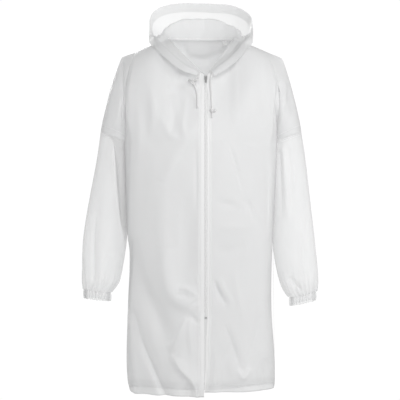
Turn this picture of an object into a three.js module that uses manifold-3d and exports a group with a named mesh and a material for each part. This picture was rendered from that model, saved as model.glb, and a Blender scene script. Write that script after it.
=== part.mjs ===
// A hooded raincoat of thin translucent film, filled out as if it were worn.
// Millimetres, +Z up, the front faces -Y, and left and right are the wearer's.
// The origin is the middle of the neck at shoulder height, where the wearer holds the coat up.
import * as THREE from "three";
import { mergeVertices } from "three/addons/utils/BufferGeometryUtils.js";
import Module from "manifold-3d";

// Driving sizes
const WALL = 1.2; // film wall
const SEAM = 0.3; // gap between two pieces at a seam
const HALF_SEAM = SEAM / 2;
const UNDERARM_Z = -270;
const ARMHOLE_OUTER_Z = -238; // the armhole seam climbs to this height on the outside of the arm
const NECK_HALF_WIDTH = 90;
const NECK_SIDE = [NECK_HALF_WIDTH, 8, 22]; // where the shoulder seam meets the neck
const FRONT_NECK = [-104, -87]; // depth and height of the neckline at the zip
const BACK_NECK = [78, 27]; // depth and height of the neckline at the centre back
const SHOULDER_TIP = { right: [222, 12, -28], left: [227, 12, -30] };
const ZIP_X = 13; // the zip hangs a little to the wearer's left of the middle
const ZIP_HALF_GAP = 4.5; // from the zip's middle to a front's edge
const ZIP_END_Z = -743;

// The fronts' edges from the zip down, as distances from the zip's middle
const EDGES = [
  { z: -1000, right: -4.5, left: -3.4 },
  { z: -925, right: -4.5, left: -3.4 },
  { z: -880, right: -4.5, left: 0.5 },
  { z: -800, right: -4.5, left: 1.5 },
  { z: -743, right: -4.5, left: 4.5 },
  { z: 0, right: -4.5, left: 4.5 },
];

// Where the upper arm crosses the armhole seam, as an oval seen from above
const ARM_RING = { middle: 238, half_width: 44, y: 20, half_depth: 82 };

// Sections of the body by height. right and left are the widest half widths, front and back the depths,
// seam the side seam's y, wall how far the widest point lies before it, tuck how far the side turns in there.
const BODY = [
  { z: -965, right: 196, left: 203, front: 151, back: 139, seam: 4, wall: 14, tuck: 0, round: 2.25 },
  { z: -930, right: 205, left: 206, front: 152, back: 140, seam: 4, wall: 14, tuck: 0, round: 2.3 },
  { z: -860, right: 208, left: 205, front: 152, back: 140, seam: 4, wall: 15, tuck: 0, round: 2.35 },
  { z: -742, right: 204, left: 197, front: 150, back: 137, seam: 5, wall: 20, tuck: 1, round: 2.35 },
  { z: -650, right: 203, left: 196, front: 150, back: 134, seam: 6, wall: 28, tuck: 4, round: 2.35 },
  { z: -560, right: 204, left: 198, front: 150, back: 131, seam: 9, wall: 42, tuck: 9, round: 2.3 },
  { z: -460, right: 207, left: 203, front: 149, back: 130, seam: 13, wall: 58, tuck: 14, round: 2.25 },
  { z: -360, right: 209, left: 207, front: 146, back: 134, seam: 18, wall: 74, tuck: 16, round: 2.2 },
  { z: -270, right: 211, left: 210, front: 143, back: 139, seam: 20, wall: 82, tuck: 17, round: 2.2 },
];

// The hem's height at the zip, at each side seam and at the centre back
const HEM_Z = { right_front: -960, right_side: -957, left_front: -947, left_side: -949, back: -979 };

// The panels' columns, as shares of the way from the middle to the widest point. The first ones reach the neckline.
const NECK_COLUMNS = { front: 5, back: 4 };
const FRONT_ACROSS = [0, 0.0936, 0.1872, 0.2808, 0.3744, 0.468, 0.57, 0.68, 0.79, 0.88, 0.95, 1];
const BACK_ACROSS = [0, 0.1096, 0.2193, 0.3289, 0.4385, 0.56, 0.68, 0.79, 0.89, 0.955, 1];

// How square the shoulder's arch is, by distance from the middle
const ARCH = [
  { x: 0, front: 1.25, back: 1.7 },
  { x: 60, front: 1.4, back: 1.9 },
  { x: 96, front: 1.8, back: 2.1 },
  { x: 150, front: 2.3, back: 2.4 },
  { x: 200, front: 2.0, back: 2.0 },
  { x: 240, front: 1.5, back: 1.5 },
  { x: 280, front: 1.15, back: 1.15 },
];

// How much of the armpit's fold stays open up the front and back, by share of the way to the shoulder
const ARMPIT_FOLD = [
  { up: 0, right_front: 1, left_front: 1, back: 1 },
  { up: 0.1, right_front: 0.78, left_front: 0.7, back: 0.7 },
  { up: 0.25, right_front: 0.52, left_front: 0.38, back: 0.4 },
  { up: 0.5, right_front: 0.42, left_front: 0.26, back: 0.25 },
  { up: 0.8, right_front: 0.26, left_front: 0.12, back: 0.1 },
  { up: 1, right_front: 0, left_front: 0, back: 0 },
];

// Sections of the sleeves from the armhole seam down. inner and outer are the half widths' ends,
// y and depth the oval's middle and half depth, tilt how much higher its outer end is.
const SLEEVE = {
  right: [
    { z: -254, inner: 195.4, outer: 282, y: 20, depth: 82, tilt: 32 },
    { z: -300, inner: 198, outer: 289, y: 19, depth: 81, tilt: 22 },
    { z: -350, inner: 199, outer: 298, y: 18, depth: 80, tilt: 14 },
    { z: -410, inner: 200, outer: 310, y: 16, depth: 77, tilt: 8 },
    { z: -470, inner: 203, outer: 321, y: 14, depth: 73, tilt: 4 },
    { z: -530, inner: 207, outer: 330, y: 11, depth: 69, tilt: 2 },
    { z: -580, inner: 213, outer: 333, y: 8, depth: 65, tilt: 0 },
    { z: -624, inner: 221, outer: 333, y: 4, depth: 60, tilt: 0 },
    { z: -656, inner: 231, outer: 332, y: 0, depth: 52, tilt: 2 },
    { z: -671, inner: 242, outer: 330, y: -2, depth: 44, tilt: 6 },
    { z: -682, inner: 252, outer: 329, y: -3, depth: 37, tilt: 9 },
  ],
  left: [
    { z: -254, inner: 195.4, outer: 282, y: 20, depth: 82, tilt: 32 },
    { z: -300, inner: 198, outer: 290, y: 19, depth: 81, tilt: 22 },
    { z: -350, inner: 199, outer: 297, y: 18, depth: 80, tilt: 14 },
    { z: -410, inner: 199, outer: 304, y: 16, depth: 77, tilt: 8 },
    { z: -470, inner: 199, outer: 311, y: 14, depth: 73, tilt: 4 },
    { z: -530, inner: 200, outer: 318, y: 11, depth: 69, tilt: 2 },
    { z: -580, inner: 204, outer: 323, y: 8, depth: 65, tilt: 0 },
    { z: -624, inner: 212, outer: 327, y: 4, depth: 61, tilt: 2 },
    { z: -660, inner: 224, outer: 327, y: 0, depth: 54, tilt: 6 },
    { z: -682, inner: 237, outer: 325, y: -2, depth: 45, tilt: 12 },
    { z: -692, inner: 247, outer: 323, y: -3, depth: 38, tilt: 16 },
  ],
};

// The elastic cuffs: gathers as waves round an oval tube that hangs from the sleeve's end
const CUFF = { height: 24, gathers: 24, wave: 2.2, taper: 2, steps_per_gather: 3 };

// The hood by place along the neckline: 0 at the zip on the wearer's right, 1 at that neck side,
// 2 at the centre back, 4 at the zip on the left. crest is the fold where the hood turns over, edge its free edge,
// drop and back how far the pouch between them hangs below and behind their middle.
const HOOD = [
  { at: 0, crest: [-6, -112, -77], edge: [-12, -124, -90], drop: 0, back: -3 },
  { at: 0.28, crest: [-39, -104, -53], edge: [-52, -124, -77], drop: -2, back: -5 },
  { at: 0.55, crest: [-69, -80, -24], edge: [-93, -107, -46], drop: -4, back: -5 },
  { at: 0.8, crest: [-94, -46, 0], edge: [-126, -74, -12], drop: -5, back: -3 },
  { at: 1, crest: [-113, -8, 27], edge: [-143, -18, 10], drop: -6, back: 0 },
  { at: 1.2, crest: [-114, 32, 45], edge: [-147, 58, 46], drop: 18, back: 12 },
  { at: 1.4, crest: [-104, 60, 69], edge: [-145, 108, 101], drop: 92, back: 36 },
  { at: 1.58, crest: [-78, 76, 82], edge: [-114, 135, 131], drop: 160, back: 40 },
  { at: 1.75, crest: [-46, 86, 90], edge: [-57, 148, 143], drop: 198, back: 42 },
  { at: 2, crest: [3, 90, 92], edge: [-4, 150, 143], drop: 212, back: 42 },
  { at: 2.25, crest: [46, 86, 89], edge: [40, 148, 141], drop: 198, back: 42 },
  { at: 2.42, crest: [80, 76, 80], edge: [99, 136, 133], drop: 160, back: 40 },
  { at: 2.6, crest: [110, 60, 65], edge: [141, 109, 103], drop: 92, back: 36 },
  { at: 2.8, crest: [120, 32, 42], edge: [148, 58, 58], drop: 18, back: 12 },
  { at: 3, crest: [118, -8, 22], edge: [143, -18, 9], drop: -6, back: 0 },
  { at: 3.2, crest: [99, -46, -3], edge: [125, -74, -14], drop: -5, back: -3 },
  { at: 3.45, crest: [72, -80, -32], edge: [99, -107, -48], drop: -4, back: -5 },
  { at: 3.72, crest: [42, -104, -58], edge: [68, -122, -74], drop: -2, back: -5 },
  { at: 4, crest: [24, -112, -77], edge: [38, -125, -92], drop: 0, back: -3 },
];
const CASING_WIDTH = 26; // the turned hem that holds the drawcord
const CASING_WALL = 1;

// The largest folds, as soft ridges (depth above 0) and troughs along a bent line from, via, to,
// in the front's or back's own x and z. reach is the half width of the fold.
const FRONT_FOLDS = [
  { from: [-14, -215], via: [-96, -330], to: [-112, -470], reach: 20, depth: 6 },
  { from: [-112, -470], via: [-122, -680], to: [-12, -735], reach: 22, depth: 9 },
  { from: [-52, -440], via: [-30, -570], to: [-58, -675], reach: 26, depth: -8 },
  { from: [-188, -560], via: [-165, -760], to: [-96, -930], reach: 36, depth: -11 },
  { from: [-82, -800], via: [-60, -850], to: [-22, -930], reach: 16, depth: 8 },
  { from: [78, -276], via: [95, -330], to: [116, -400], reach: 12, depth: -4 },
  { from: [40, -450], via: [80, -445], to: [116, -452], reach: 14, depth: -4 },
  { from: [62, -755], via: [90, -830], to: [118, -893], reach: 16, depth: -7 },
  { from: [166, -735], via: [150, -830], to: [122, -890], reach: 18, depth: -7 },
  { from: [40, -925], via: [62, -850], to: [98, -930], reach: 26, depth: -8 },
  { from: [36, -650], via: [48, -680], to: [66, -715], reach: 12, depth: -6 },
];
const BACK_FOLDS = [
  { from: [-70, -180], via: [-92, -420], to: [-60, -640], reach: 26, depth: -8 },
  { from: [60, -240], via: [96, -470], to: [84, -720], reach: 28, depth: -9 },
  { from: [-120, -520], via: [-130, -740], to: [-96, -930], reach: 24, depth: 9 },
  { from: [-10, -420], via: [14, -640], to: [-6, -900], reach: 24, depth: 7 },
  { from: [120, -600], via: [132, -760], to: [118, -940], reach: 22, depth: 8 },
  { from: [-30, -700], via: [-52, -820], to: [-40, -945], reach: 22, depth: -8 },
  { from: [50, -760], via: [62, -850], to: [44, -945], reach: 20, depth: -7 },
];

// The drawcord's two free ends, their routes chosen by hand from the casing's ends down the fronts
const CORD_RADIUS = 2.2;
const CORD_LEFT_ROUTE = [
  [30.8, -122.3, -86.2], [29.2, -124, -89], [27.6, -125, -92.4], [26.4, -125.6, -96.6], [25.7, -126, -102.4],
  [25.5, -126.1, -109], [25.8, -126.2, -115], [26.1, -126.3, -121], [26.4, -126.5, -127], [26.7, -126.9, -133],
  [27, -127.5, -139], [27.3, -128.3, -145], [27.7, -129.2, -151], [28.1, -130.2, -157], [28.5, -131.3, -163],
  [28.9, -132.4, -169], [29.3, -133.6, -175], [29.7, -134.8, -181], [30, -135.9, -187], [29.9, -136.9, -193],
  [29.6, -137.8, -199], [29.2, -138.6, -205],
];
const CORD_RIGHT_ROUTE = [
  [-6.5, -121.4, -84.1], [-6.3, -123.2, -87.8], [-7.2, -124.7, -91.2], [-9.6, -125.9, -94.6], [-12.6, -126.5, -97.4],
  [-15.8, -126.7, -99.9], [-18.4, -126.8, -102.8], [-19.8, -126.9, -106.6], [-19.5, -126.9, -111], [-18.2, -126.9, -116], [-16.4, -126.9, -121],
  [-14.5, -126.9, -126], [-12.8, -126.9, -131.5], [-11.6, -126.9, -137], [-10.9, -127, -143], [-10.5, -127.2, -149],
  [-10.3, -127.5, -155], [-10.2, -128.1, -161], [-10.2, -129, -167], [-10.2, -130, -173], [-10.2, -131.1, -179],
];
// An overhand knot on each: its place, half sizes and lean
const KNOTS = {
  left: { at: [31, -136, -186.5], half: [7, 4.8, 4.6], lean: 0.2 },
  right: { at: [-19.6, -126.9, -105], half: [10, 6, 7], lean: -0.15 },
};

const COLOURS = {
  film: { color: 0xe9ebec, roughness: 0.38, metalness: 0 },
  zip: { color: 0xdfe1e2, roughness: 0.55, metalness: 0 },
  metal: { color: 0xa9abad, roughness: 0.35, metalness: 0.9 },
  cord: { color: 0xe4e4e2, roughness: 0.85, metalness: 0 },
};

const clamp = THREE.MathUtils.clamp;
const lerp = THREE.MathUtils.lerp;
const mix = (a, b, t) => a.map((value, i) => lerp(value, b[i], t));
const ease = (t) => THREE.MathUtils.smoothstep(t, 0, 1);

// A column of a table at a place between its rows, on a smooth curve through them. part picks x, y or z of a point.
function read(table, key, column, at, part = null) {
  const value = (row) => (part === null ? row[column] : row[column][part]);
  const up = table[table.length - 1][key] > table[0][key];
  let i = 1;
  while (i < table.length - 1 && (up ? table[i][key] < at : table[i][key] > at)) i++;
  const [x0, x1] = [table[i - 1][key], table[i][key]];
  const [y0, y1] = [value(table[i - 1]), value(table[i])];
  const slope = (a, b) => (value(table[b]) - value(table[a])) / (table[b][key] - table[a][key]);
  const before = slope(Math.max(i - 2, 0), i) * (x1 - x0);
  const after = slope(i - 1, Math.min(i + 1, table.length - 1)) * (x1 - x0);
  const t = clamp((at - x0) / (x1 - x0), 0, 1);
  const a = 2 * (y0 - y1) + before + after;
  const b = 3 * (y1 - y0) - 2 * before - after;
  return ((a * t + b) * t + before) * t + y0;
}

const readPoint = (table, column, at) => [0, 1, 2].map((part) => read(table, "at", column, at, part));
const bezier = (a, b, c, t) => mix(mix(a, b, t), mix(b, c, t), t);

// The neckline: 0 at the zip, 1 at the neck side, 2 at the centre back. side is -1 on the wearer's right.
function neckline(side, share) {
  const along = clamp(share, 0, 2);
  const neck = [side * NECK_SIDE[0], NECK_SIDE[1], NECK_SIDE[2]];
  if (along <= 1) return bezier([ZIP_X, ...FRONT_NECK], [side * 82, -60, 0], neck, along);
  return bezier(neck, [side * 80, 72, 26], [0, ...BACK_NECK], along - 1);
}

// A point of the body's section at a height. across runs from the middle (0) to the widest point (1),
// and wall from there back to the side seam, beside the arm.
function bodyPoint(face, side, { across = 1, wall = 0 }, z) {
  const row = (column) => read(BODY, "z", column, z);
  const wide = row(side < 0 ? "right" : "left");
  const round = row("round");
  const depth = Math.max(1 - across ** round, 0) ** (1 / round);
  if (face > 0) return [side * (wide - row("tuck")) * across, lerp(row("seam"), row("back"), depth), z];
  const widest = row("seam") - row("wall");
  const x = lerp(ZIP_X, side * wide, across) - side * row("tuck") * (1 - (1 - wall) ** 2);
  return [x, lerp(lerp(widest, -row("front"), depth), row("seam"), wall), z];
}

// The same section carried on round the upper arm, for a turn from 0 at the armpit to 1 on the outside.
function armPoint(face, side, turn) {
  const angle = turn * Math.PI;
  const out = (1 - Math.cos(angle)) / 2;
  const x = side * (ARM_RING.middle - ARM_RING.half_width * Math.cos(angle));
  return [x, ARM_RING.y + face * ARM_RING.half_depth * Math.sin(angle), lerp(UNDERARM_Z, ARMHOLE_OUTER_Z, out)];
}

// A point above the underarm. up runs from there (0) to the top edge (1).
const SMOOTH_ROUND = 2.6; // squareness of the section where the armpit's fold has gone
const OUTER = ARM_RING.middle + ARM_RING.half_width;
const WALL_FOOT = 14; // the wall beside the arm spans this much of the smooth section
const FOOT = 222; // where the smooth section leaves the body for the arm
function spread(face, column) {
  if (column.turn !== undefined) return lerp(FOOT, OUTER, (1 - Math.cos(column.turn * Math.PI)) / 2);
  const { across = 1, wall = 0 } = column;
  return face > 0 ? across * FOOT : across * (FOOT - WALL_FOOT) + wall * WALL_FOOT;
}

function upperPoint(face, side, column, up) {
  const onArm = column.turn !== undefined;
  const low = onArm ? armPoint(face, side, column.turn) : bodyPoint(face, side, column, UNDERARM_Z);
  const flat = spread(face, column);
  const depth = read(BODY, "z", face < 0 ? "front" : "back", UNDERARM_Z);
  const bulge = Math.max(1 - (flat / OUTER) ** SMOOTH_ROUND, 0) ** (1 / SMOOTH_ROUND);
  const smoothX = face < 0 ? lerp(ZIP_X, side * OUTER, flat / OUTER) : side * flat;
  const smooth = [smoothX, lerp(ARM_RING.y, face * depth, bulge), low[2]];
  const kept = read(ARMPIT_FOLD, "up", face > 0 ? "back" : side < 0 ? "right_front" : "left_front", up);
  const start = mix(smooth, low, kept);
  const top = topEdge(face, side, flat);
  const bend = 2 / read(ARCH, "x", face < 0 ? "front" : "back", flat);
  const rise = Math.sin((up * Math.PI) / 2) ** bend;
  const lean = 1 - Math.max(Math.cos((up * Math.PI) / 2), 0) ** bend;
  return [lerp(start[0], top[0], lean), lerp(start[1], top[1], lean), lerp(low[2], top[2], rise)];
}

// Where a column ends: the first ones at the neckline, the others along the shoulder seam.
function topEdge(face, side, flat) {
  const neckFoot = (FRONT_ACROSS[NECK_COLUMNS.front] * (FOOT - WALL_FOOT) + BACK_ACROSS[NECK_COLUMNS.back] * FOOT) / 2;
  if (flat < neckFoot + 1) return neckline(side, face < 0 ? flat / neckFoot : 2 - flat / neckFoot);
  const tip = SHOULDER_TIP[side < 0 ? "right" : "left"];
  const neck = [side * NECK_SIDE[0], NECK_SIDE[1], NECK_SIDE[2]];
  return mix(neck, [side * tip[0], tip[1], tip[2]], (flat - neckFoot) / (OUTER - neckFoot));
}

// How far a fold lifts a point off the panel.
const FOLD_STEPS = 8;
function foldLift(folds, x, z) {
  let lift = 0;
  for (const fold of folds) {
    let best = Infinity;
    let along = 0;
    for (let i = 0; i <= FOLD_STEPS; i++) {
      const [px, pz] = bezier(fold.from, fold.via, fold.to, i / FOLD_STEPS);
      const near = Math.hypot(px - x, pz - z);
      if (near < best) [best, along] = [near, i / FOLD_STEPS];
    }
    const fade = 0.35 + 0.65 * Math.sin(along * Math.PI);
    lift += fold.depth * fade * Math.exp(-((best / fold.reach) ** 2));
  }
  return lift;
}

// The average direction that the faces round each point of a grid look in. Missing points are null.
function gridNormals(grid, closed) {
  const normals = grid.map((row) => row.map((p) => p && new THREE.Vector3()));
  const at = (i, j) => grid[i][closed ? j % grid[i].length : j];
  for (let i = 0; i + 1 < grid.length; i++)
    for (let j = 0; j + (closed ? 0 : 1) < grid[i].length; j++) {
      const corners = [[i, j], [i, j + 1], [i + 1, j + 1], [i + 1, j]];
      const points = corners.map(([a, b]) => at(a, b));
      if (points.some((p) => !p)) continue;
      const [a, b, c, d] = points.map((p) => new THREE.Vector3(...p));
      const n = c.sub(a).cross(d.sub(b));
      for (const [r, s] of corners) normals[r][closed ? s % grid[r].length : s].add(n);
    }
  return normals;
}

// A closed solid from a grid of outer points: its inner side lies a wall's thickness behind.
// level(i, j) names the axis that a point's offset leaves out, so that seam edges stay in one plane.
function wallGeometry(grid, { thickness = WALL, closed = false, level = () => null, out = 0 } = {}) {
  const normals = gridNormals(grid, closed);
  const positions = [];
  const outer = grid.map((row) => row.map(() => -1));
  const inner = grid.map((row) => row.map(() => -1));
  grid.forEach((row, i) =>
    row.forEach((p, j) => {
      if (!p) return;
      const n = normals[i][j].clone().normalize();
      const axis = level(i, j);
      if (axis) n[axis] = 0;
      n.normalize();
      outer[i][j] = positions.push(new THREE.Vector3(...p).addScaledVector(n, out)) - 1;
      inner[i][j] = positions.push(new THREE.Vector3(...p).addScaledVector(n, out - thickness)) - 1;
    }),
  );
  const faces = [];
  const edges = new Map();
  const edge = (a, b) => (edges.has(`${b},${a}`) ? edges.delete(`${b},${a}`) : edges.set(`${a},${b}`, [a, b]));
  for (let i = 0; i + 1 < grid.length; i++)
    for (let j = 0; j + (closed ? 0 : 1) < grid[i].length; j++) {
      const corners = [[i, j], [i, j + 1], [i + 1, j + 1], [i + 1, j]].map(([r, s]) => [
        r,
        closed ? s % grid[r].length : s,
      ]);
      if (corners.some(([r, s]) => !grid[r][s])) continue;
      const [a, b, c, d] = corners.map(([r, s]) => outer[r][s]);
      const [e, f, g, h] = corners.map(([r, s]) => inner[r][s]);
      faces.push(a, b, c, a, c, d, e, g, f, e, h, g);
      [[a, b], [b, c], [c, d], [d, a]].forEach(([p, q]) => edge(p, q));
    }
  for (const [a, b] of edges.values()) faces.push(b, a, a + 1, b, a + 1, b + 1);
  const geometry = new THREE.BufferGeometry().setFromPoints(positions);
  geometry.setIndex(faces);
  return geometry;
}

function material(kind) {
  return new THREE.MeshStandardMaterial({ ...COLOURS[kind], side: THREE.DoubleSide });
}

function named(name, geometry, kind) {
  const mesh = new THREE.Mesh(geometry, material(kind));
  mesh.name = name;
  return mesh;
}

// Moves a grid's points along their own directions by the folds, less at the panel's edges.
function folded(grid, folds, calm) {
  const normals = gridNormals(grid, false);
  return grid.map((row, i) =>
    row.map((p, j) => {
      if (!p) return null;
      const n = normals[i][j].clone().normalize();
      const lift = foldLift(folds, p[0], p[2]) * calm(p, i, j);
      return [p[0] + n.x * lift, p[1] + n.y * lift, p[2] + n.z * lift];
    }),
  );
}

// Body panels
const ARM_STEPS = 12;
const BELOW_ZIP_ROWS = 7;
const LOWER_ROWS = 25;
const UPPER_ROWS = 9;
const EDGE_CALM = [19, 30]; // folds start this far from the zip and are full after so much more

function panelColumns(face) {
  const columns = (face < 0 ? FRONT_ACROSS : BACK_ACROSS).map((across) => ({ across }));
  if (face < 0) columns.push({ across: 1, wall: 0.5 }, { across: 1, wall: 1 });
  const seam = columns.length - 1;
  for (let i = 1; i <= ARM_STEPS; i++) columns.push({ turn: i / ARM_STEPS });
  return { columns, seam };
}

function hemHeight(face, side, across) {
  const sideZ = side < 0 ? HEM_Z.right_side : HEM_Z.left_side;
  const middleZ = face > 0 ? HEM_Z.back : side < 0 ? HEM_Z.right_front : HEM_Z.left_front;
  return lerp(middleZ, sideZ, face > 0 ? across ** 2 : across);
}

// One half of a panel as a grid: rows from the hem up, columns from the middle out.
function halfPanel(face, side) {
  const { columns, seam } = panelColumns(face);
  const grid = [];
  for (let i = 0; i < LOWER_ROWS; i++)
    grid.push(
      columns.map((column) => {
        if (column.turn !== undefined) return null;
        const hem = hemHeight(face, side, column.across);
        const z =
          i < BELOW_ZIP_ROWS
            ? lerp(hem, ZIP_END_Z, i / BELOW_ZIP_ROWS)
            : lerp(ZIP_END_Z, UNDERARM_Z, (i - BELOW_ZIP_ROWS) / (LOWER_ROWS - BELOW_ZIP_ROWS));
        return bodyPoint(face, side, column, z);
      }),
    );
  for (let i = 0; i <= UPPER_ROWS; i++)
    grid.push(columns.map((column) => upperPoint(face, side, column, i / UPPER_ROWS)));
  return { grid, seam };
}

// Draws seam edges back by half a seam, so that neighbouring pieces stay apart.
function drawBack({ grid, seam }, face) {
  const last = grid[0].length - 1;
  const top = grid.length - 1;
  const neck = face < 0 ? NECK_COLUMNS.front : NECK_COLUMNS.back;
  return grid.map((row, i) =>
    row.map((p, j) => {
      if (!p) return null;
      const [x, y, z] = p;
      const onSeam = (j === seam && i <= LOWER_ROWS) || (j === last && i >= LOWER_ROWS) || (i === top && j >= neck);
      return onSeam ? [x, y + face * HALF_SEAM, z] : p;
    }),
  );
}

// The direction that a point's offset leaves out, so that seam edges stay in one plane.
function seamAxis(face, seam, i, j) {
  const top = LOWER_ROWS + UPPER_ROWS;
  const neck = face < 0 ? NECK_COLUMNS.front : NECK_COLUMNS.back;
  if (j === seam + ARM_STEPS || (j === seam && i <= LOWER_ROWS)) return "y";
  if (i === top && j >= neck) return "y";
  if (i === LOWER_ROWS && j > seam) return "z";
  return null;
}

const calmAcross = (j, seam) => ease((seam + 1 - j) / 3);
const calmUp = (i) => ease((LOWER_ROWS + 5 - i) / 4);

function frontGrid(side) {
  const half = halfPanel(-1, side);
  const outwards = (rows) => (side < 0 ? rows.map((row) => row.slice().reverse()) : rows);
  const last = half.grid[0].length - 1;
  const calm = (p, i, shown) => {
    const j = side < 0 ? last - shown : shown;
    return ease((Math.abs(p[0] - ZIP_X) - EDGE_CALM[0]) / EDGE_CALM[1]) * calmAcross(j, half.seam) * calmUp(i);
  };
  const grid = outwards(folded(outwards(half.grid), FRONT_FOLDS, calm));
  const edge = (z) => ZIP_X + read(EDGES, "z", side < 0 ? "right" : "left", z);
  return {
    seam: half.seam,
    grid: drawBack({ grid, seam: half.seam }, -1).map(([[, y, z], ...rest]) => [[edge(z), y, z], ...rest]),
  };
}

function frontPanel(name, side) {
  const { grid, seam } = frontGrid(side);
  const last = grid[0].length - 1;
  const shown = side < 0 ? grid.map((row) => row.slice().reverse()) : grid;
  const level = (i, shownJ) => {
    const j = side < 0 ? last - shownJ : shownJ;
    return j === 0 ? "x" : seamAxis(-1, seam, i, j);
  };
  return named(name, wallGeometry(shown, { level }), "film");
}

function backPanel(name) {
  const [left, right] = [1, -1].map((side) => ({ ...halfPanel(1, side) }));
  const seam = left.seam;
  const middle = left.grid[0].length - 1;
  const [leftGrid, rightGrid] = [left, right].map((half) => drawBack(half, 1));
  const whole = leftGrid.map((row, i) => [...row.slice().reverse(), ...rightGrid[i].slice(1)]);
  const calm = (p, i, j) => calmAcross(Math.abs(j - middle), seam) * calmUp(i);
  const level = (i, j) => seamAxis(1, seam, i, Math.abs(j - middle));
  return named(name, wallGeometry(folded(whole, BACK_FOLDS, calm), { level }), "film");
}

// Sleeves
const SLEEVE_ROUND = 24;
const SLEEVE_ROWS = 12;
const SLEEVE_PUCKERS = 8; // the largest puckers above the cuff
const SLEEVE_PUCKER = 3.5;

// A point of a sleeve: turn runs once round from the armpit over the front, down from 0 to 1.
function sleevePoint(side, turn, down) {
  const table = SLEEVE[side < 0 ? "right" : "left"];
  const z = lerp(table[0].z, table[table.length - 1].z, down);
  const row = (column) => read(table, "z", column, z);
  const angle = turn * 2 * Math.PI;
  const pucker = SLEEVE_PUCKER * Math.cos(angle * SLEEVE_PUCKERS) * ease((down - 0.82) / 0.18);
  const [inner, outer, depth] = [row("inner"), row("outer"), row("depth") + pucker];
  const x = (inner + outer) / 2 - ((outer - inner) / 2 + pucker) * Math.cos(angle);
  return [side * x, row("y") - depth * Math.sin(angle), z - (row("tilt") * Math.cos(angle)) / 2];
}

function sleeve(name, side) {
  const grid = [];
  for (let i = 0; i <= SLEEVE_ROWS; i++) {
    const down = i / SLEEVE_ROWS;
    const row = [];
    for (let j = 0; j < SLEEVE_ROUND; j++) {
      const [x, y, z] = sleevePoint(side, j / SLEEVE_ROUND, down);
      row.push([x, y, i === 0 ? z - SEAM : z]);
    }
    grid.push(side < 0 ? row : row.reverse());
  }
  const level = (i) => (i === 0 || i === SLEEVE_ROWS ? "z" : null);
  return named(name, wallGeometry(grid, { closed: true, level }), "film");
}

function cuff(name, side) {
  const steps = CUFF.gathers * CUFF.steps_per_gather;
  const grid = [0, 0.5, 1].map((down) => {
    const row = [];
    for (let j = 0; j < steps; j++) {
      const turn = j / steps;
      const [x, y, z] = sleevePoint(side, turn, 1);
      const wave = CUFF.wave * Math.cos(turn * 2 * Math.PI * CUFF.gathers) - CUFF.taper - SLEEVE_PUCKER / 2;
      const angle = turn * 2 * Math.PI;
      const [dx, dy] = [-side * Math.cos(angle) * wave, -Math.sin(angle) * wave];
      row.push([x + dx, y + dy, z - SEAM - down * CUFF.height]);
    }
    return side < 0 ? row : row.reverse();
  });
  const level = (i) => (i === 1 ? null : "z");
  return named(name, wallGeometry(grid, { closed: true, level }), "film");
}

// Hood. It starts on the straight stretches between the fronts' and the back's neckline points.
const NECK_STOPS = [0, 0.2, 0.4, 0.6, 0.8, 1, 1.25, 1.5, 1.75, 2];
function neckSeam(at) {
  const side = at <= 2 ? -1 : 1;
  const along = at <= 2 ? at : 4 - at;
  const i = clamp(NECK_STOPS.findIndex((stop) => stop >= along) - 1, 0, NECK_STOPS.length - 2);
  const [from, to] = [NECK_STOPS[i], NECK_STOPS[i + 1]];
  const ends = [from, to].map((stop) => {
    const [x, y, z] = neckline(side, stop);
    return [stop === 0 ? ZIP_X + side * ZIP_HALF_GAP : x, y, z + SEAM];
  });
  return mix(ends[0], ends[1], (along - from) / (to - from));
}

// The panels that the hood rests on, as points with the directions they face in
const REST_CLEAR = 3;
const CREST_CLEAR = 5;
const STAND_CLEAR = 3.5;
const STAND_FOOT = 0.1; // the stand has left the panels this far up to the crest
const restingPlaces = [[-1, -1], [-1, 1], [1, -1], [1, 1]].flatMap(([face, side]) => {
  const { grid } = halfPanel(face, side);
  const flipped = face * side > 0;
  const rows = flipped ? grid.map((row) => row.slice().reverse()) : grid;
  const normals = gridNormals(rows, false);
  return rows.slice(LOWER_ROWS).flatMap((row, i) =>
    row.map((p, j) => ({ p: new THREE.Vector3(...p), n: normals[i + LOWER_ROWS][j].clone().normalize() })),
  );
});

function resting(point, clear) {
  const p = new THREE.Vector3(...point);
  const nearest = restingPlaces.reduce((best, place) =>
    place.p.distanceToSquared(p) < best.p.distanceToSquared(p) ? place : best,
  );
  const off = p.clone().sub(nearest.p).dot(nearest.n);
  return off < clear ? p.addScaledVector(nearest.n, clear - off).toArray() : point;
}

// Across the hood a smooth line runs from the neck seam over the crest and through the pouch to the edge.
function hoodLine(at) {
  const neck = neckSeam(at);
  const crest = resting(readPoint(HOOD, "crest", at), CREST_CLEAR);
  const edge = resting(readPoint(HOOD, "edge", at), REST_CLEAR);
  const drop = read(HOOD, "at", "drop", at);
  const back = read(HOOD, "at", "back", at);
  const bottom = mix(crest, edge, 0.5).map((value, i) => value + [0, back, -drop][i]);
  const near = mix(crest, bottom, 0.5);
  const far = mix(bottom, edge, 0.5);
  far[1] += 0.12 * Math.max(drop, 0);
  const outside = [near, bottom, far].map((point) => resting(point, REST_CLEAR));
  const stand = [STAND_FOOT, 0.5].map((share) => resting(mix(neck, crest, share), STAND_CLEAR));
  const points = [neck, ...stand, crest, ...outside, edge];
  return new THREE.CatmullRomCurve3(points.map((p) => new THREE.Vector3(...p)), false, "centripetal");
}

// A column of the hood's points from the neck seam to the start of the casing, across it and to the free edge
const HOOD_UPS = [0, 0.09, 0.18, 0.27, 0.36, 0.46, 0.56, 0.66, 0.77, 0.88, 1];
function hoodColumn(at) {
  const line = hoodLine(at);
  const length = line.getLength();
  const crestLength = readPoint(HOOD, "crest", at).reduce((sum, value, i) => sum + (value - neckSeam(at)[i]) ** 2, 0) ** 0.5;
  const casing = 1 - Math.min(CASING_WIDTH, 0.8 * (length - crestLength)) / length;
  return [...HOOD_UPS.map((up) => up * casing), (1 + casing) / 2, 1].map((up) => line.getPointAt(up).toArray());
}

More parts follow.
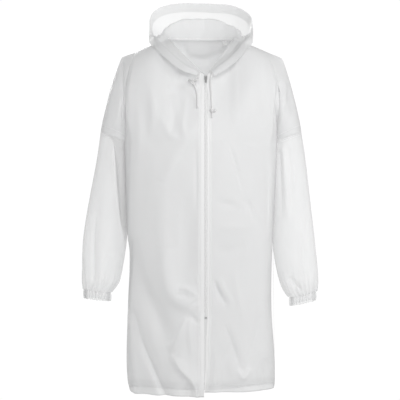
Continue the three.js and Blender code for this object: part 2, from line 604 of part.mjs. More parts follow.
const HOOD_SIDE_PLACES = [0, 0.1, 0.2, 0.3, 0.4, 0.5, 0.6, 0.7, 0.8, 0.9, 1, 1.125, 1.25, 1.375, 1.5, 1.625, 1.75];
const HOOD_STRIP_PLACES = [1.75, 1.875, 2, 2.125, 2.25];
const transpose = (columns) => columns[0].map((_, i) => columns.map((column) => column[i]));

// Columns run from the wearer's left to the right, so that faces look out. drawnBack clears the strip's seams.
function hoodGrid(places, drawnBack) {
  const columns = places.map((at, j) => hoodColumn(at).map(([x, y, z]) => [x + drawnBack(j), y, z]));
  return transpose(columns.reverse());
}

function hoodPieces() {
  const level = (seams) => (i, j) => (seams.includes(j) ? "x" : null);
  const sides = HOOD_SIDE_PLACES;
  const mirrored = sides.map((at) => 4 - at).reverse();
  const last = sides.length - 1;
  const strip = HOOD_STRIP_PLACES.length - 1;
  const right = hoodGrid(sides, (j) => (j === last ? -HALF_SEAM : 0));
  const left = hoodGrid(mirrored, (j) => (j === 0 ? HALF_SEAM : 0));
  const middle = hoodGrid(HOOD_STRIP_PLACES, (j) => (j === 0 ? HALF_SEAM : j === strip ? -HALF_SEAM : 0));
  const casing = left.map((row, i) => [...row, ...middle[i].slice(1, strip), ...right[i]]).slice(-3);
  return [
    named("hood_side_right", wallGeometry(right, { level: level([0]) }), "film"),
    named("hood_strip", wallGeometry(middle, { level: level([0, strip]) }), "film"),
    named("hood_side_left", wallGeometry(left, { level: level([last]) }), "film"),
    named("hood_casing", wallGeometry(casing, { thickness: CASING_WALL, out: -WALL - 2.5 * SEAM }), "film"),
  ];
}

// The zip's tapes lie on the fronts' inner face, between their first two columns.
const TAPE_FROM = 3.2;
const TAPE_WIDTH = 13;
const TAPE_WALL = 0.8;
const CHAIN_WIDTH = 5;
const CHAIN_WALL = 2.6;
const CHAIN_OUT = 0.6;
const ZIP_ROWS = [BELOW_ZIP_ROWS, LOWER_ROWS + UPPER_ROWS];

function tape(name, side) {
  const { grid } = frontGrid(side);
  const rows = grid.slice(ZIP_ROWS[0], ZIP_ROWS[1]).map((row) =>
    [TAPE_FROM, TAPE_FROM + TAPE_WIDTH].map((from) => {
      const share = (from - ZIP_HALF_GAP) / (Math.abs(row[1][0] - ZIP_X) - ZIP_HALF_GAP);
      return mix(row[0], row[1], share);
    }),
  );
  const shown = side < 0 ? rows.map((row) => row.slice().reverse()) : rows;
  return named(name, wallGeometry(shown, { thickness: TAPE_WALL, out: -WALL - 2 * SEAM, level: () => "x" }), "zip");
}

function chain(name) {
  const rows = frontGrid(-1).grid.slice(ZIP_ROWS[0], ZIP_ROWS[1] - 1);
  const half = CHAIN_WIDTH / 2;
  const points = rows.map(([[, y, z]]) => [-half, half].map((across) => [ZIP_X + across, y, z]));
  return named(name, wallGeometry(points, { thickness: CHAIN_WALL, out: CHAIN_OUT }), "zip");
}

// A label sewn into the neck seam, hanging inside the back
const LABEL = { from: 1.36, to: 1.5, drop: 12, wall: 1, below: 2.4, inwards: 1.4 };
function label(name) {
  const columns = [LABEL.to, LABEL.from].map((along) => {
    const [seamX, seamY, z] = neckSeam(4 - along);
    const inwards = 1 - LABEL.inwards / Math.hypot(seamX, seamY);
    const [x, y] = [seamX * inwards, seamY * inwards];
    return [[x, y, z - LABEL.below - LABEL.drop], [x, y, z - LABEL.below]];
  });
  return named(name, wallGeometry(transpose(columns), { thickness: LABEL.wall }), "zip");
}

const wasm = await Module();
wasm.setup();

function solid(geometry) {
  const plain = geometry.clone();
  plain.deleteAttribute("normal");
  plain.deleteAttribute("uv");
  const merged = mergeVertices(plain, 1e-3);
  return new wasm.Manifold(
    new wasm.Mesh({
      numProp: 3,
      vertProperties: merged.attributes.position.array,
      triVerts: new Uint32Array(merged.index.array),
    }),
  );
}

// Several geometries as one closed surface
function joined(geometries) {
  const mesh = wasm.Manifold.union(geometries.map(solid)).getMesh();
  const geometry = new THREE.BufferGeometry();
  geometry.setAttribute("position", new THREE.BufferAttribute(mesh.vertProperties, 3));
  geometry.setIndex(new THREE.BufferAttribute(mesh.triVerts, 1));
  return geometry;
}

const CORD_SIDES = 8;
const CORD_STEPS_PER_POINT = 1;
function cord(name, route, knot) {
  const curve = new THREE.CatmullRomCurve3(route.map((p) => new THREE.Vector3(...p)), false, "centripetal");
  const ring = [];
  for (let i = 0; i < CORD_SIDES; i++) {
    const angle = (i / CORD_SIDES) * Math.PI * 2;
    ring.push(new THREE.Vector2(Math.cos(angle), Math.sin(angle)).multiplyScalar(CORD_RADIUS));
  }
  const steps = (route.length - 1) * CORD_STEPS_PER_POINT;
  const tube = new THREE.ExtrudeGeometry(new THREE.Shape(ring), { steps, extrudePath: curve, bevelEnabled: false });
  const lump = new THREE.SphereGeometry(1, 12, 8).scale(...knot.half).rotateY(knot.lean).translate(...knot.at);
  return named(name, joined([tube, lump]), "cord");
}

// The slider sits at the top of the zip, in a frame whose Z runs up the zip and -Y points out of it.
// Its front carries a ring round the pull tab's bar.
const SLIDER = { width: 8.2, height: 11.6, back: -0.5, wall: 3, ring_width: 1.8, ring_z: 2.4, bar_out: 1.25 };
const RING = { inner: 1.4, outer: 2.6 };
const PULL = { top: 3, waist: 2.2, foot: 2.9, length: 18.5, wall: 1.4, bar: 0.8, slot_half: 1.3, slot_end: 3 };
const SLIDER_UP_ROW = LOWER_ROWS + UPPER_ROWS - 1;

function sliderFrame() {
  const column = frontGrid(-1).grid.map((row) => row[0]);
  const [below, , above] = column.slice(SLIDER_UP_ROW - 1, SLIDER_UP_ROW + 2);
  const place = column[SLIDER_UP_ROW];
  const frame = new THREE.Group();
  frame.position.set(ZIP_X, place[1], place[2] - 5);
  frame.rotation.x = -Math.atan2(above[1] - below[1], above[2] - below[2]);
  return frame;
}

function roundedPlate(halfWidth, halfHeight, radius, depth) {
  const shape = new THREE.Shape();
  const [w, h, r] = [halfWidth, halfHeight, radius];
  shape.moveTo(-w + r, -h).lineTo(w - r, -h).absarc(w - r, -h + r, r, -Math.PI / 2, 0);
  shape.lineTo(w, h - r).absarc(w - r, h - r, r, 0, Math.PI / 2);
  shape.lineTo(-w + r, h).absarc(-w + r, h - r, r, Math.PI / 2, Math.PI);
  shape.lineTo(-w, -h + r).absarc(-w + r, -h + r, r, Math.PI, Math.PI * 1.5);
  return new THREE.ExtrudeGeometry(shape, { depth, bevelEnabled: false, curveSegments: 4 }).rotateX(Math.PI / 2);
}

function slider(name) {
  const body = roundedPlate(SLIDER.width / 2, SLIDER.height / 2, 2, SLIDER.wall).translate(0, SLIDER.back, 0);
  const face = SLIDER.back - SLIDER.wall;
  const shape = new THREE.Shape();
  const sunk = -0.5; // the ring's legs reach into the body
  shape.moveTo(sunk, -RING.outer).lineTo(SLIDER.bar_out, -RING.outer);
  shape.absarc(SLIDER.bar_out, 0, RING.outer, -Math.PI / 2, Math.PI / 2);
  shape.lineTo(sunk, RING.outer).lineTo(sunk, RING.inner).lineTo(SLIDER.bar_out, RING.inner);
  shape.absarc(SLIDER.bar_out, 0, RING.inner, Math.PI / 2, -Math.PI / 2, true);
  shape.lineTo(sunk, -RING.inner);
  const ring = new THREE.ExtrudeGeometry(shape, { depth: SLIDER.ring_width, bevelEnabled: false, curveSegments: 8 })
    .translate(0, 0, -SLIDER.ring_width / 2)
    .rotateX(Math.PI / 2)
    .rotateZ(-Math.PI / 2)
    .translate(0, face, SLIDER.ring_z);
  return named(name, joined([body, ring]), "metal");
}

function pull(name) {
  const shape = new THREE.Shape();
  shape.moveTo(-PULL.top, PULL.bar).lineTo(-PULL.waist, -PULL.length * 0.5).lineTo(-PULL.foot, -PULL.length * 0.8);
  shape.absarc(0, -PULL.length + PULL.foot, PULL.foot, Math.PI, 2 * Math.PI);
  shape.lineTo(PULL.foot, -PULL.length * 0.8).lineTo(PULL.waist, -PULL.length * 0.5).lineTo(PULL.top, PULL.bar);
  const slot = new THREE.Path();
  slot.moveTo(-PULL.slot_half, -PULL.bar).lineTo(PULL.slot_half, -PULL.bar);
  slot.lineTo(PULL.slot_half, -PULL.slot_end).lineTo(-PULL.slot_half, -PULL.slot_end);
  shape.holes.push(slot);
  const geometry = new THREE.ExtrudeGeometry(shape, { depth: PULL.wall, bevelEnabled: false, curveSegments: 6 });
  geometry.translate(0, 0, -PULL.wall / 2).rotateX(Math.PI / 2);
  const mesh = named(name, geometry, "metal");
  mesh.position.set(0, SLIDER.back - SLIDER.wall - SLIDER.bar_out, SLIDER.ring_z);
  return mesh;
}

const STOP = { width: 6.4, height: 5, wall: 3.4 };
function bottomStop(name) {
  const [, y, z] = frontGrid(-1).grid[BELOW_ZIP_ROWS][0];
  const mesh = named(name, new THREE.BoxGeometry(STOP.width, STOP.wall, STOP.height), "metal");
  mesh.position.set(ZIP_X, y + 0.6, z - STOP.height / 2 - 2 * SEAM);
  return mesh;
}

const group = new THREE.Group();
group.add(frontPanel("front_right", -1), frontPanel("front_left", 1), backPanel("back"));
group.add(sleeve("sleeve_right", -1), sleeve("sleeve_left", 1));
group.add(cuff("cuff_right", -1), cuff("cuff_left", 1));
group.add(...hoodPieces());
group.add(tape("zip_tape_right", -1), tape("zip_tape_left", 1), chain("zip_chain"));
const topOfZip = sliderFrame();
topOfZip.add(slider("zip_slider"), pull("zip_pull"));
group.add(topOfZip, bottomStop("zip_bottom_stop"), label("neck_label"));
group.add(cord("drawcord_left", CORD_LEFT_ROUTE, KNOTS.left), cord("drawcord_right", CORD_RIGHT_ROUTE, KNOTS.right));

export default group;
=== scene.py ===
"""Looks of a hooded raincoat of thin translucent film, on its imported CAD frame.

Lengths are in millimetres until a mesh is made. +Z is up and the front faces -Y. Left and right are the
wearer's: side is -1 on the right and 1 on the left. face is -1 for the fronts and 1 for the back.
"""

import math
from typing import NamedTuple

import bpy
import numpy as np
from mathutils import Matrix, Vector

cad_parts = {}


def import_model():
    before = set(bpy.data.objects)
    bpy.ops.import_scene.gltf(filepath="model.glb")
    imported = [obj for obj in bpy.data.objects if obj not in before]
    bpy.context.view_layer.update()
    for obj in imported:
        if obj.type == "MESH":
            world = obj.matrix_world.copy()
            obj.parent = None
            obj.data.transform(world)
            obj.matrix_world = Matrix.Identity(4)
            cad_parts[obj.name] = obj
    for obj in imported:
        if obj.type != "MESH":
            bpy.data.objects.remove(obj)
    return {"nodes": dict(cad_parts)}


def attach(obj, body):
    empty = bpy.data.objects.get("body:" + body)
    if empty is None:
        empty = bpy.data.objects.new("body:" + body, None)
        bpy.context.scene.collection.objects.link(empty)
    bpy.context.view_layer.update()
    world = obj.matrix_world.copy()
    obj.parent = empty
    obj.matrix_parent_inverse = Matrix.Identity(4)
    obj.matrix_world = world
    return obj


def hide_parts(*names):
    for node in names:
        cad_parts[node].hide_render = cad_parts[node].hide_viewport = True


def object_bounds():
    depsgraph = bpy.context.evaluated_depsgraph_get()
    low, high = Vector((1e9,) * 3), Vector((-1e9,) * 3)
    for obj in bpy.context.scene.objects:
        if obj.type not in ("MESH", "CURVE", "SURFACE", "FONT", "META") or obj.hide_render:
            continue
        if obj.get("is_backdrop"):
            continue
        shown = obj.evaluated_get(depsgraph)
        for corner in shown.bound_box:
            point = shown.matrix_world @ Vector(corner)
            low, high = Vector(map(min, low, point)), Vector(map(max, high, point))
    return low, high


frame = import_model()
cad_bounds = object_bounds()

MM = 0.001
COAT = "coat"
WORD = {-1: "right", 1: "left"}


# Camera

PIXEL = 2.8  # millimetres for each of the photo's pixels at the coat's middle
CAMERA_DISTANCE = 4000
CAMERA_X = -2.8
CAMERA_Z = -428.4
SENSOR = 36
PHOTO_WIDTH = 400
CLIP_END = 40  # metres


def camera():
    data = bpy.data.cameras.new("camera")
    data.sensor_width = SENSOR
    data.lens = SENSOR * CAMERA_DISTANCE / (PIXEL * PHOTO_WIDTH)
    data.clip_end = CLIP_END
    eye = bpy.data.objects.new("camera", data)
    eye.location = Vector((CAMERA_X, -CAMERA_DISTANCE, CAMERA_Z)) * MM
    eye.rotation_euler = (math.radians(90), 0, 0)
    bpy.context.collection.objects.link(eye)
    bpy.context.scene.camera = eye


camera()


# Shader writing

MIX_DARK, MIX_LIGHT, MIX_RESULT = 6, 7, 2  # the colour sockets of a Mix node


def grey(tone):
    return (tone, tone, tone, 1)


class Value:
    """One output of a shader node; arithmetic on it adds the Math nodes."""

    def __init__(self, paint, socket):
        self.paint = paint
        self.socket = socket

    def __add__(self, other):
        return self.paint.math("ADD", self, other)

    def __sub__(self, other):
        return self.paint.math("SUBTRACT", self, other)

    def __rsub__(self, other):
        return self.paint.math("SUBTRACT", other, self)

    def __mul__(self, other):
        return self.paint.math("MULTIPLY", self, other)

    def __truediv__(self, other):
        return self.paint.math("DIVIDE", self, other)

    def __pow__(self, other):
        return self.paint.math("POWER", self, other)

    __radd__ = __add__
    __rmul__ = __mul__


class Paint:
    """A material and the few calls that build its nodes."""

    def __init__(self, name, **uniform):
        self.material = bpy.data.materials.new(name)
        self.material.use_nodes = True
        self.tree = self.material.node_tree
        self.shader = self.tree.nodes["Principled BSDF"]
        self.set(self.shader, uniform)

    def give(self, socket, value):
        if isinstance(value, Value):
            self.tree.links.new(value.socket, socket)
        else:
            socket.default_value = value

    def set(self, node, inputs):
        for name, value in inputs.items():
            self.give(node.inputs[name if name in node.inputs else name.replace("_", " ")], value)

    def node(self, kind, settings=None, output=0, **inputs):
        node = self.tree.nodes.new("ShaderNode" + kind)
        for name, value in (settings or {}).items():
            setattr(node, name, value)
        self.set(node, inputs)
        return Value(self, node.outputs[output])

    def math(self, operation, first, second):
        node = self.tree.nodes.new("ShaderNodeMath")
        node.operation = operation
        self.give(node.inputs[0], first)
        self.give(node.inputs[1], second)
        return Value(self, node.outputs[0])

    def place(self):
        return self.node("TexCoord", output="Object")

    def noise(self, scale, detail=2, stretch=(1, 1, 1)):
        place = self.node("Mapping", Vector=self.place(), Scale=stretch)
        return self.node("TexNoise", Vector=place, Scale=scale, Detail=detail)

    def between(self, amount, dark, light):
        mix = self.tree.nodes.new("ShaderNodeMix")
        mix.data_type = "RGBA"
        self.give(mix.inputs["Factor"], amount)
        self.give(mix.inputs[MIX_DARK], dark)
        self.give(mix.inputs[MIX_LIGHT], light)
        return Value(self, mix.outputs[MIX_RESULT])

    def bump(self, height, strength, distance):
        normal = self.node("Bump", Height=height, Strength=strength, Distance=distance)
        self.set(self.shader, {"Normal": normal})

    def surface(self, **inputs):
        self.set(self.shader, inputs)
        return self.material


def film_material(name, alpha, tone, doubled_and_shade_tone=0.925, doubled_alpha=0.22):
    """Thin milky film. Where the mesh says that it lies doubled, it is denser and has a tone of its own; a darker tone
    there, as the sleeves get, is painted shade.
    """
    paint = Paint(name, IOR=1.46, Specular_IOR_Level=0.3)
    waves = paint.noise(scale=14, detail=3)
    crinkle = paint.noise(scale=60, detail=4, stretch=(1, 1, 0.6))
    fine = paint.noise(scale=420)
    cloud = paint.noise(scale=5)
    doubled_and_shade = paint.node("Attribute", {"attribute_name": "doubled_and_shade"}, output="Fac")
    paint.bump(waves * 0.5 + crinkle * 0.16 + fine * 0.02, strength=0.5, distance=0.004)
    dark = (tone * 0.94, tone * 0.945, tone * 0.95, 1)
    plain = paint.between(cloud * 0.6, dark, grey(tone * 1.04))
    return paint.surface(
        Base_Color=paint.between(doubled_and_shade, plain, grey(doubled_and_shade_tone)),
        Roughness=crinkle * 0.2 + 0.38,
        Alpha=cloud * 0.06 + (alpha - 0.03) + doubled_and_shade * doubled_alpha,
    )


def tape_material():
    paint = Paint("zip_tape", Roughness=0.7)
    weave = paint.noise(scale=900, detail=1, stretch=(1, 1, 0.25))
    paint.bump(weave, strength=0.3, distance=0.0006)
    return paint.surface(
        Base_Color=paint.between(weave, grey(0.92), grey(0.97)),
        Alpha=weave * 0.2 + 0.5,
    )


def teeth_material():
    paint = Paint("zip_teeth", IOR=1.5)
    speckle = paint.noise(scale=700, detail=1)
    return paint.surface(
        Base_Color=paint.between(speckle, grey(0.82), grey(0.93)),
        Roughness=speckle * 0.15 + 0.35,
    )


def metal_material():
    paint = Paint("slider_metal", Metallic=0.9)
    scratch = paint.noise(scale=500, detail=3, stretch=(1, 1, 6))
    paint.bump(scratch, strength=0.15, distance=0.0003)
    return paint.surface(
        Base_Color=paint.between(scratch, grey(0.42), grey(0.58)),
        Roughness=scratch * 0.25 + 0.25,
    )


def cord_material():
    paint = Paint("braided_cord", Roughness=0.85)
    braid = paint.node(
        "TexWave",
        {"wave_type": "BANDS", "bands_direction": "DIAGONAL"},
        output="Fac",
        Vector=paint.place(),
        Scale=280,
        Distortion=2,
    )
    paint.bump(braid, strength=0.6, distance=0.0008)
    return paint.surface(Base_Color=paint.between(braid, grey(0.74), grey(0.92)))


def thread_material():
    paint = Paint("thread", Roughness=0.7)
    twist = paint.noise(scale=1500, detail=1)
    return paint.surface(Base_Color=paint.between(twist, grey(0.74), grey(0.88)))


def label_material():
    paint = Paint("label_cloth", Roughness=0.8)
    weave = paint.noise(scale=1400, detail=1)
    paint.bump(weave, strength=0.2, distance=0.0003)
    return paint.surface(Base_Color=paint.between(weave, grey(0.86), grey(0.93)))


# The body's film gets a darker tone than the sleeves' and the hood's, though it is the same film: painted shade of the
# body's shadowed inside.
FILM = film_material("film", alpha=0.64, tone=0.87)
# The sleeves' dark doubled tone (0.72) is painted shade on the slack beside the body.
SLEEVE_FILM = film_material("sleeve_film", alpha=0.47, tone=0.93, doubled_and_shade_tone=0.72, doubled_alpha=0.3)
HOOD_FILM = film_material("hood_film", alpha=0.5, tone=0.92)
CASING_FILM = film_material("casing_film", alpha=0.5, tone=0.86)
CUFF_FILM = film_material("cuff_film", alpha=0.34, tone=0.95)
TAPE = tape_material()
TEETH = teeth_material()
METAL = metal_material()
CORD = cord_material()
THREAD = thread_material()
LABEL = label_material()


# Meshes


def link(name, data, material, smooth=True):
    piece = bpy.data.objects.new(name, data)
    bpy.context.collection.objects.link(piece)
    data.materials.append(material)
    if smooth and hasattr(data, "polygons"):
        data.polygons.foreach_set("use_smooth", [True] * len(data.polygons))
    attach(piece, COAT)
    return piece


def mesh_piece(name, points, faces, material, smooth=True):
    data = bpy.data.meshes.new(name)
    data.from_pydata((np.asarray(points) * MM).tolist(), [], [list(map(int, face)) for face in faces])
    data.update()
    return link(name, data, material, smooth)


def grid_faces(grid, closed=False):
    """Quads of a grid of points, left out where a corner is missing."""
    rows, columns = grid.shape[:2]
    index = np.arange(rows * columns).reshape(rows, columns)
    if closed:
        index = np.concatenate([index, index[:, :1]], axis=1)
    quads = np.stack([index[:-1, :-1], index[:-1, 1:], index[1:, 1:], index[1:, :-1]], axis=-1).reshape(-1, 4)
    there = ~np.isnan(grid[..., 0]).reshape(-1)
    return quads[there[quads].all(axis=1)]


def sheet_piece(name, grid, material, closed=False, doubled_and_shade=None):
    """A sheet from a grid of points. The last argument says how far each point lies on a doubled part, from 0 to 1; on
    the sleeves it also places painted shade.
    """
    faces = grid_faces(grid, closed)
    points = grid.reshape(-1, 3)
    used = np.unique(faces)
    place = np.full(len(points), -1)
    place[used] = np.arange(len(used))
    piece = mesh_piece(name, points[used], place[faces], material)
    if doubled_and_shade is not None:
        mark = piece.data.attributes.new("doubled_and_shade", "FLOAT", "POINT")
        mark.data.foreach_set("value", doubled_and_shade.reshape(-1)[used].astype(np.float32))
    return piece


def unit(vectors):
    return vectors / np.maximum(np.linalg.norm(vectors, axis=-1, keepdims=True), 1e-9)


def grid_normals(grid, closed=False):
    """The average direction that the faces round each point look in."""
    faces = grid_faces(grid, closed)
    points = grid.reshape(-1, 3)
    a, b, c, d = (points[faces[:, k]] for k in range(4))
    face_normals = np.cross(c - a, d - b)
    total = np.zeros_like(points)
    for k in range(4):
        np.add.at(total, faces[:, k], face_normals)
    return unit(total).reshape(grid.shape)


# Driving sizes, as in the CAD


def named(columns, rows):
    """A table's rows as dictionaries, with these names for the columns."""
    return [dict(zip(columns.split(), row)) for row in rows]


UNDERARM_Z = -270
ARMHOLE_OUTER_Z = -238
NECK_SIDE = (90, 8, 22)
FRONT_NECK = (-104, -87)
BACK_NECK = (78, 27)
FRONT_NECK_BEND = (82, -60, 0)
BACK_NECK_BEND = (80, 72, 26)
SHOULDER_TIP = {-1: (222, 12, -28), 1: (227, 12, -30)}
ZIP_X = 13
ZIP_HALF_GAP = 4.5
ZIP_END_Z = -743
ARM_MIDDLE = 238
ARM_HALF_WIDTH = 44
ARM_Y = 20
ARM_HALF_DEPTH = 82
SMOOTH_ROUND = 2.6
OUTER = ARM_MIDDLE + ARM_HALF_WIDTH
WALL_FOOT = 14
FOOT = 222
NECK_FOOT = 97.34
LAID_BY_HAND = 0.75
HEM_Z = {"right_front": -960, "right_side": -957, "left_front": -947, "left_side": -949, "back": -979}

# Each front's edge beside the zip's middle line
EDGES = named("z right left", [
    (-1000, -4.5, -3.4),
    (-925, -4.5, -3.4),
    (-880, -4.5, 0.5),
    (-800, -4.5, 1.5),
    (-743, -4.5, 4.5),
    (0, -4.5, 4.5),
])
BODY = named("z right left front back seam wall tuck round", [
    (-965, 196, 203, 151, 139, 4, 14, 0, 2.25),
    (-930, 205, 206, 152, 140, 4, 14, 0, 2.3),
    (-860, 208, 205, 152, 140, 4, 15, 0, 2.35),
    (-742, 204, 197, 150, 137, 5, 20, 1, 2.35),
    (-650, 203, 196, 150, 134, 6, 28, 4, 2.35),
    (-560, 204, 198, 150, 131, 9, 42, 9, 2.3),
    (-460, 207, 203, 149, 130, 13, 58, 14, 2.25),
    (-360, 209, 207, 146, 134, 18, 74, 16, 2.2),
    (-270, 211, 210, 143, 139, 20, 82, 17, 2.2),
])
ARCH = named("x front back", [
    (0, 1.25, 1.7),
    (60, 1.4, 1.9),
    (96, 1.8, 2.1),
    (150, 2.3, 2.4),
    (200, 2.0, 2.0),
    (240, 1.5, 1.5),
    (280, 1.15, 1.15),
])
ARMPIT_FOLD = named("up right_front left_front back", [
    (0, 1, 1, 1),
    (0.1, 0.78, 0.7, 0.7),
    (0.25, 0.52, 0.38, 0.4),
    (0.5, 0.42, 0.26, 0.25),
    (0.8, 0.26, 0.12, 0.1),
    (1, 0, 0, 0),
])
SLEEVE = {
    -1: named("z inner outer y depth tilt", [
        (-254, 195.4, 282, 20, 82, 32),
        (-300, 198, 289, 19, 81, 22),
        (-350, 199, 298, 18, 80, 14),
        (-410, 200, 310, 16, 77, 8),
        (-470, 203, 321, 14, 73, 4),
        (-530, 207, 330, 11, 69, 2),
        (-580, 213, 333, 8, 65, 0),
        (-624, 221, 333, 4, 60, 0),
        (-656, 231, 332, 0, 52, 2),
        (-671, 242, 330, -2, 44, 6),
        (-682, 252, 329, -3, 37, 9),
    ]),
    1: named("z inner outer y depth tilt", [
        (-254, 195.4, 282, 20, 82, 32),
        (-300, 198, 290, 19, 81, 22),
        (-350, 199, 297, 18, 80, 14),
        (-410, 199, 304, 16, 77, 8),
        (-470, 199, 311, 14, 73, 4),
        (-530, 200, 318, 11, 69, 2),
        (-580, 204, 323, 8, 65, 0),
        (-624, 212, 327, 4, 61, 2),
        (-660, 224, 327, 0, 54, 6),
        (-682, 237, 325, -2, 45, 12),
        (-692, 247, 323, -3, 38, 16),
    ]),
}
# The hood's places run from 0 at the zip over the wearer's right, 2 at the centre back, to 4 at the zip
HOOD = named("at crest edge drop back", [
    (0, (-6, -112, -77), (-12, -124, -90), 0, -3),
    (0.28, (-39, -104, -53), (-52, -124, -77), -2, -5),
    (0.55, (-69, -80, -24), (-93, -107, -46), -4, -5),
    (0.8, (-94, -46, 0), (-126, -74, -12), -5, -3),
    (1, (-113, -8, 27), (-143, -18, 10), -6, 0),
    (1.2, (-114, 32, 45), (-147, 58, 46), 18, 12),
    (1.4, (-104, 60, 69), (-145, 108, 101), 92, 36),
    (1.58, (-78, 76, 82), (-114, 135, 131), 160, 40),
    (1.75, (-46, 86, 90), (-57, 148, 143), 198, 42),
    (2, (3, 90, 92), (-4, 150, 143), 212, 42),
    (2.25, (46, 86, 89), (40, 148, 141), 198, 42),
    (2.42, (80, 76, 80), (99, 136, 133), 160, 40),
    (2.6, (110, 60, 65), (141, 109, 103), 92, 36),
    (2.8, (120, 32, 42), (148, 58, 58), 18, 12),
    (3, (118, -8, 22), (143, -18, 9), -6, 0),
    (3.2, (99, -46, -3), (125, -74, -14), -5, -3),
    (3.45, (72, -80, -32), (99, -107, -48), -4, -5),
    (3.72, (42, -104, -58), (68, -122, -74), -2, -5),
    (4, (24, -112, -77), (38, -125, -92), 0, -3),
])


def curve(xs, ys, at):
    """The rows of ys at places between their xs, on a smooth curve through them."""
    i = np.clip(np.searchsorted(xs, at, side="left"), 1, len(xs) - 1)
    two_back = np.maximum(i - 2, 0)
    next_on = np.minimum(i + 1, len(xs) - 1)
    wide = (..., *[None] * (ys.ndim - 1))
    width = (xs[i] - xs[i - 1])[wide]
    before = (ys[i] - ys[two_back]) / (xs[i] - xs[two_back])[wide] * width
    after = (ys[next_on] - ys[i - 1]) / (xs[next_on] - xs[i - 1])[wide] * width
    t = (at - xs[i - 1])[wide] / width
    a = 2 * (ys[i - 1] - ys[i]) + before + after
    b = 3 * (ys[i] - ys[i - 1]) - 2 * before - after
    return ((a * t + b) * t + before) * t + ys[i - 1]


def read(table, key, column, at):
    """A column of a table at places between its rows, on a smooth curve through them."""
    xs = np.array([row[key] for row in table], float)
    ys = np.array([row[column] for row in table], float)
    if xs[0] > xs[-1]:
        xs, ys = xs[::-1], ys[::-1]
    return curve(xs, ys, np.clip(np.asarray(at, float), xs[0], xs[-1]))


def lengths(points):
    """How far along its line each point lies; the lines run down the first axis."""
    steps = np.linalg.norm(np.diff(points, axis=0), axis=-1)
    return np.concatenate([np.zeros_like(steps[:1]), np.cumsum(steps, axis=0)])


def points_at(at, places, points):
    """Points at places between those of known ones, in straight steps."""
    return np.stack([np.interp(at, places, points[:, part]) for part in range(3)], axis=-1)


def lerp(a, b, t):
    return a + (b - a) * t


def ease(t):
    t = np.clip(t, 0, 1)
    return t * t * (3 - 2 * t)


def stack(*parts):
    return np.stack(np.broadcast_arrays(*parts), axis=-1)


def mirrored(side, point):
    return (side * point[0], *point[1:])


def bezier(a, b, c, t):
    t = np.asarray(t, float)[..., None]
    return np.array(a) * (1 - t) ** 2 + np.array(b) * 2 * t * (1 - t) + np.array(c) * t**2


def neckline(side, along):
    """0 at the zip, 1 at the neck side, 2 at the centre back."""
    along = np.clip(np.asarray(along, float), 0, 2)
    neck = mirrored(side, NECK_SIDE)
    front = bezier((ZIP_X, *FRONT_NECK), mirrored(side, FRONT_NECK_BEND), neck, np.minimum(along, 1))
    back = bezier(neck, mirrored(side, BACK_NECK_BEND), (0, *BACK_NECK), np.maximum(along - 1, 0))
    return np.where((along <= 1)[..., None], front, back)


def body_point(face, side, across, wall, z):
    wide, tuck, seam, round_ = (read(BODY, "z", column, z) for column in (WORD[side], "tuck", "seam", "round"))
    depth = np.maximum(1 - across**round_, 0) ** (1 / round_)
    if face > 0:
        return stack(side * (wide - tuck) * across, lerp(seam, read(BODY, "z", "back", z), depth), z)
    widest = seam - read(BODY, "z", "wall", z)
    x = lerp(ZIP_X, side * wide, across) - side * tuck * (1 - (1 - wall) ** 2)
    return stack(x, lerp(lerp(widest, -read(BODY, "z", "front", z), depth), seam, wall), z)


def arm_point(face, side, turn):
    angle = turn * np.pi
    out = (1 - np.cos(angle)) / 2
    x = side * (ARM_MIDDLE - ARM_HALF_WIDTH * np.cos(angle))
    y = ARM_Y + face * ARM_HALF_DEPTH * np.sin(angle)
    return stack(x, y, lerp(UNDERARM_Z, ARMHOLE_OUTER_Z, out))


def panel_word(face, side):
    return "back" if face > 0 else WORD[side] + "_front"


def armpit_fold(face, side, up):
    """How much of the armpit's fold stays open; the rest of the fronts' creases is laid in one by one."""
    kept = read(ARMPIT_FOLD, "up", panel_word(face, side), up)
    return kept * (1 - LAID_BY_HAND * ease((up - 0.1) / 0.3)) if face < 0 else kept


def upper_point(face, side, columns, up):
    """Points above the underarm, whose columns are panel_columns'; up runs from 0 there to 1 at the top edge."""
    across, wall, turn = columns
    on_arm = ~np.isnan(turn)
    arm_turn = np.nan_to_num(turn)
    low = np.where(
        on_arm[..., None],
        arm_point(face, side, arm_turn),
        body_point(face, side, across, wall, np.full_like(across, UNDERARM_Z)),
    )
    arm_flat = lerp(FOOT, OUTER, (1 - np.cos(arm_turn * np.pi)) / 2)
    body_flat = across * FOOT if face > 0 else across * (FOOT - WALL_FOOT) + wall * WALL_FOOT
    flat = np.where(on_arm, arm_flat, body_flat)
    depth = read(BODY, "z", "front" if face < 0 else "back", UNDERARM_Z)
    bulge = np.maximum(1 - (flat / OUTER) ** SMOOTH_ROUND, 0) ** (1 / SMOOTH_ROUND)
    smooth_x = lerp(ZIP_X, side * OUTER, flat / OUTER) if face < 0 else side * flat
    smooth = stack(smooth_x, lerp(ARM_Y, face * depth, bulge), low[..., 2])
    start = lerp(smooth, low, armpit_fold(face, side, up)[..., None])
    share = flat / NECK_FOOT
    neck, tip = (np.array(mirrored(side, point)) for point in (NECK_SIDE, SHOULDER_TIP[side]))
    shoulder = lerp(neck, tip, ((flat - NECK_FOOT) / (OUTER - NECK_FOOT))[..., None])
    top = np.where((share <= 1)[..., None], neckline(side, share if face < 0 else 2 - share), shoulder)
    bend = 2 / read(ARCH, "x", "front" if face < 0 else "back", flat)
    rise = np.sin(up * np.pi / 2) ** bend
    lean = 1 - np.maximum(np.cos(up * np.pi / 2), 0) ** bend
    return stack(
        lerp(start[..., 0], top[..., 0], lean),
        lerp(start[..., 1], top[..., 1], lean),
        lerp(low[..., 2], top[..., 2], rise),
    )


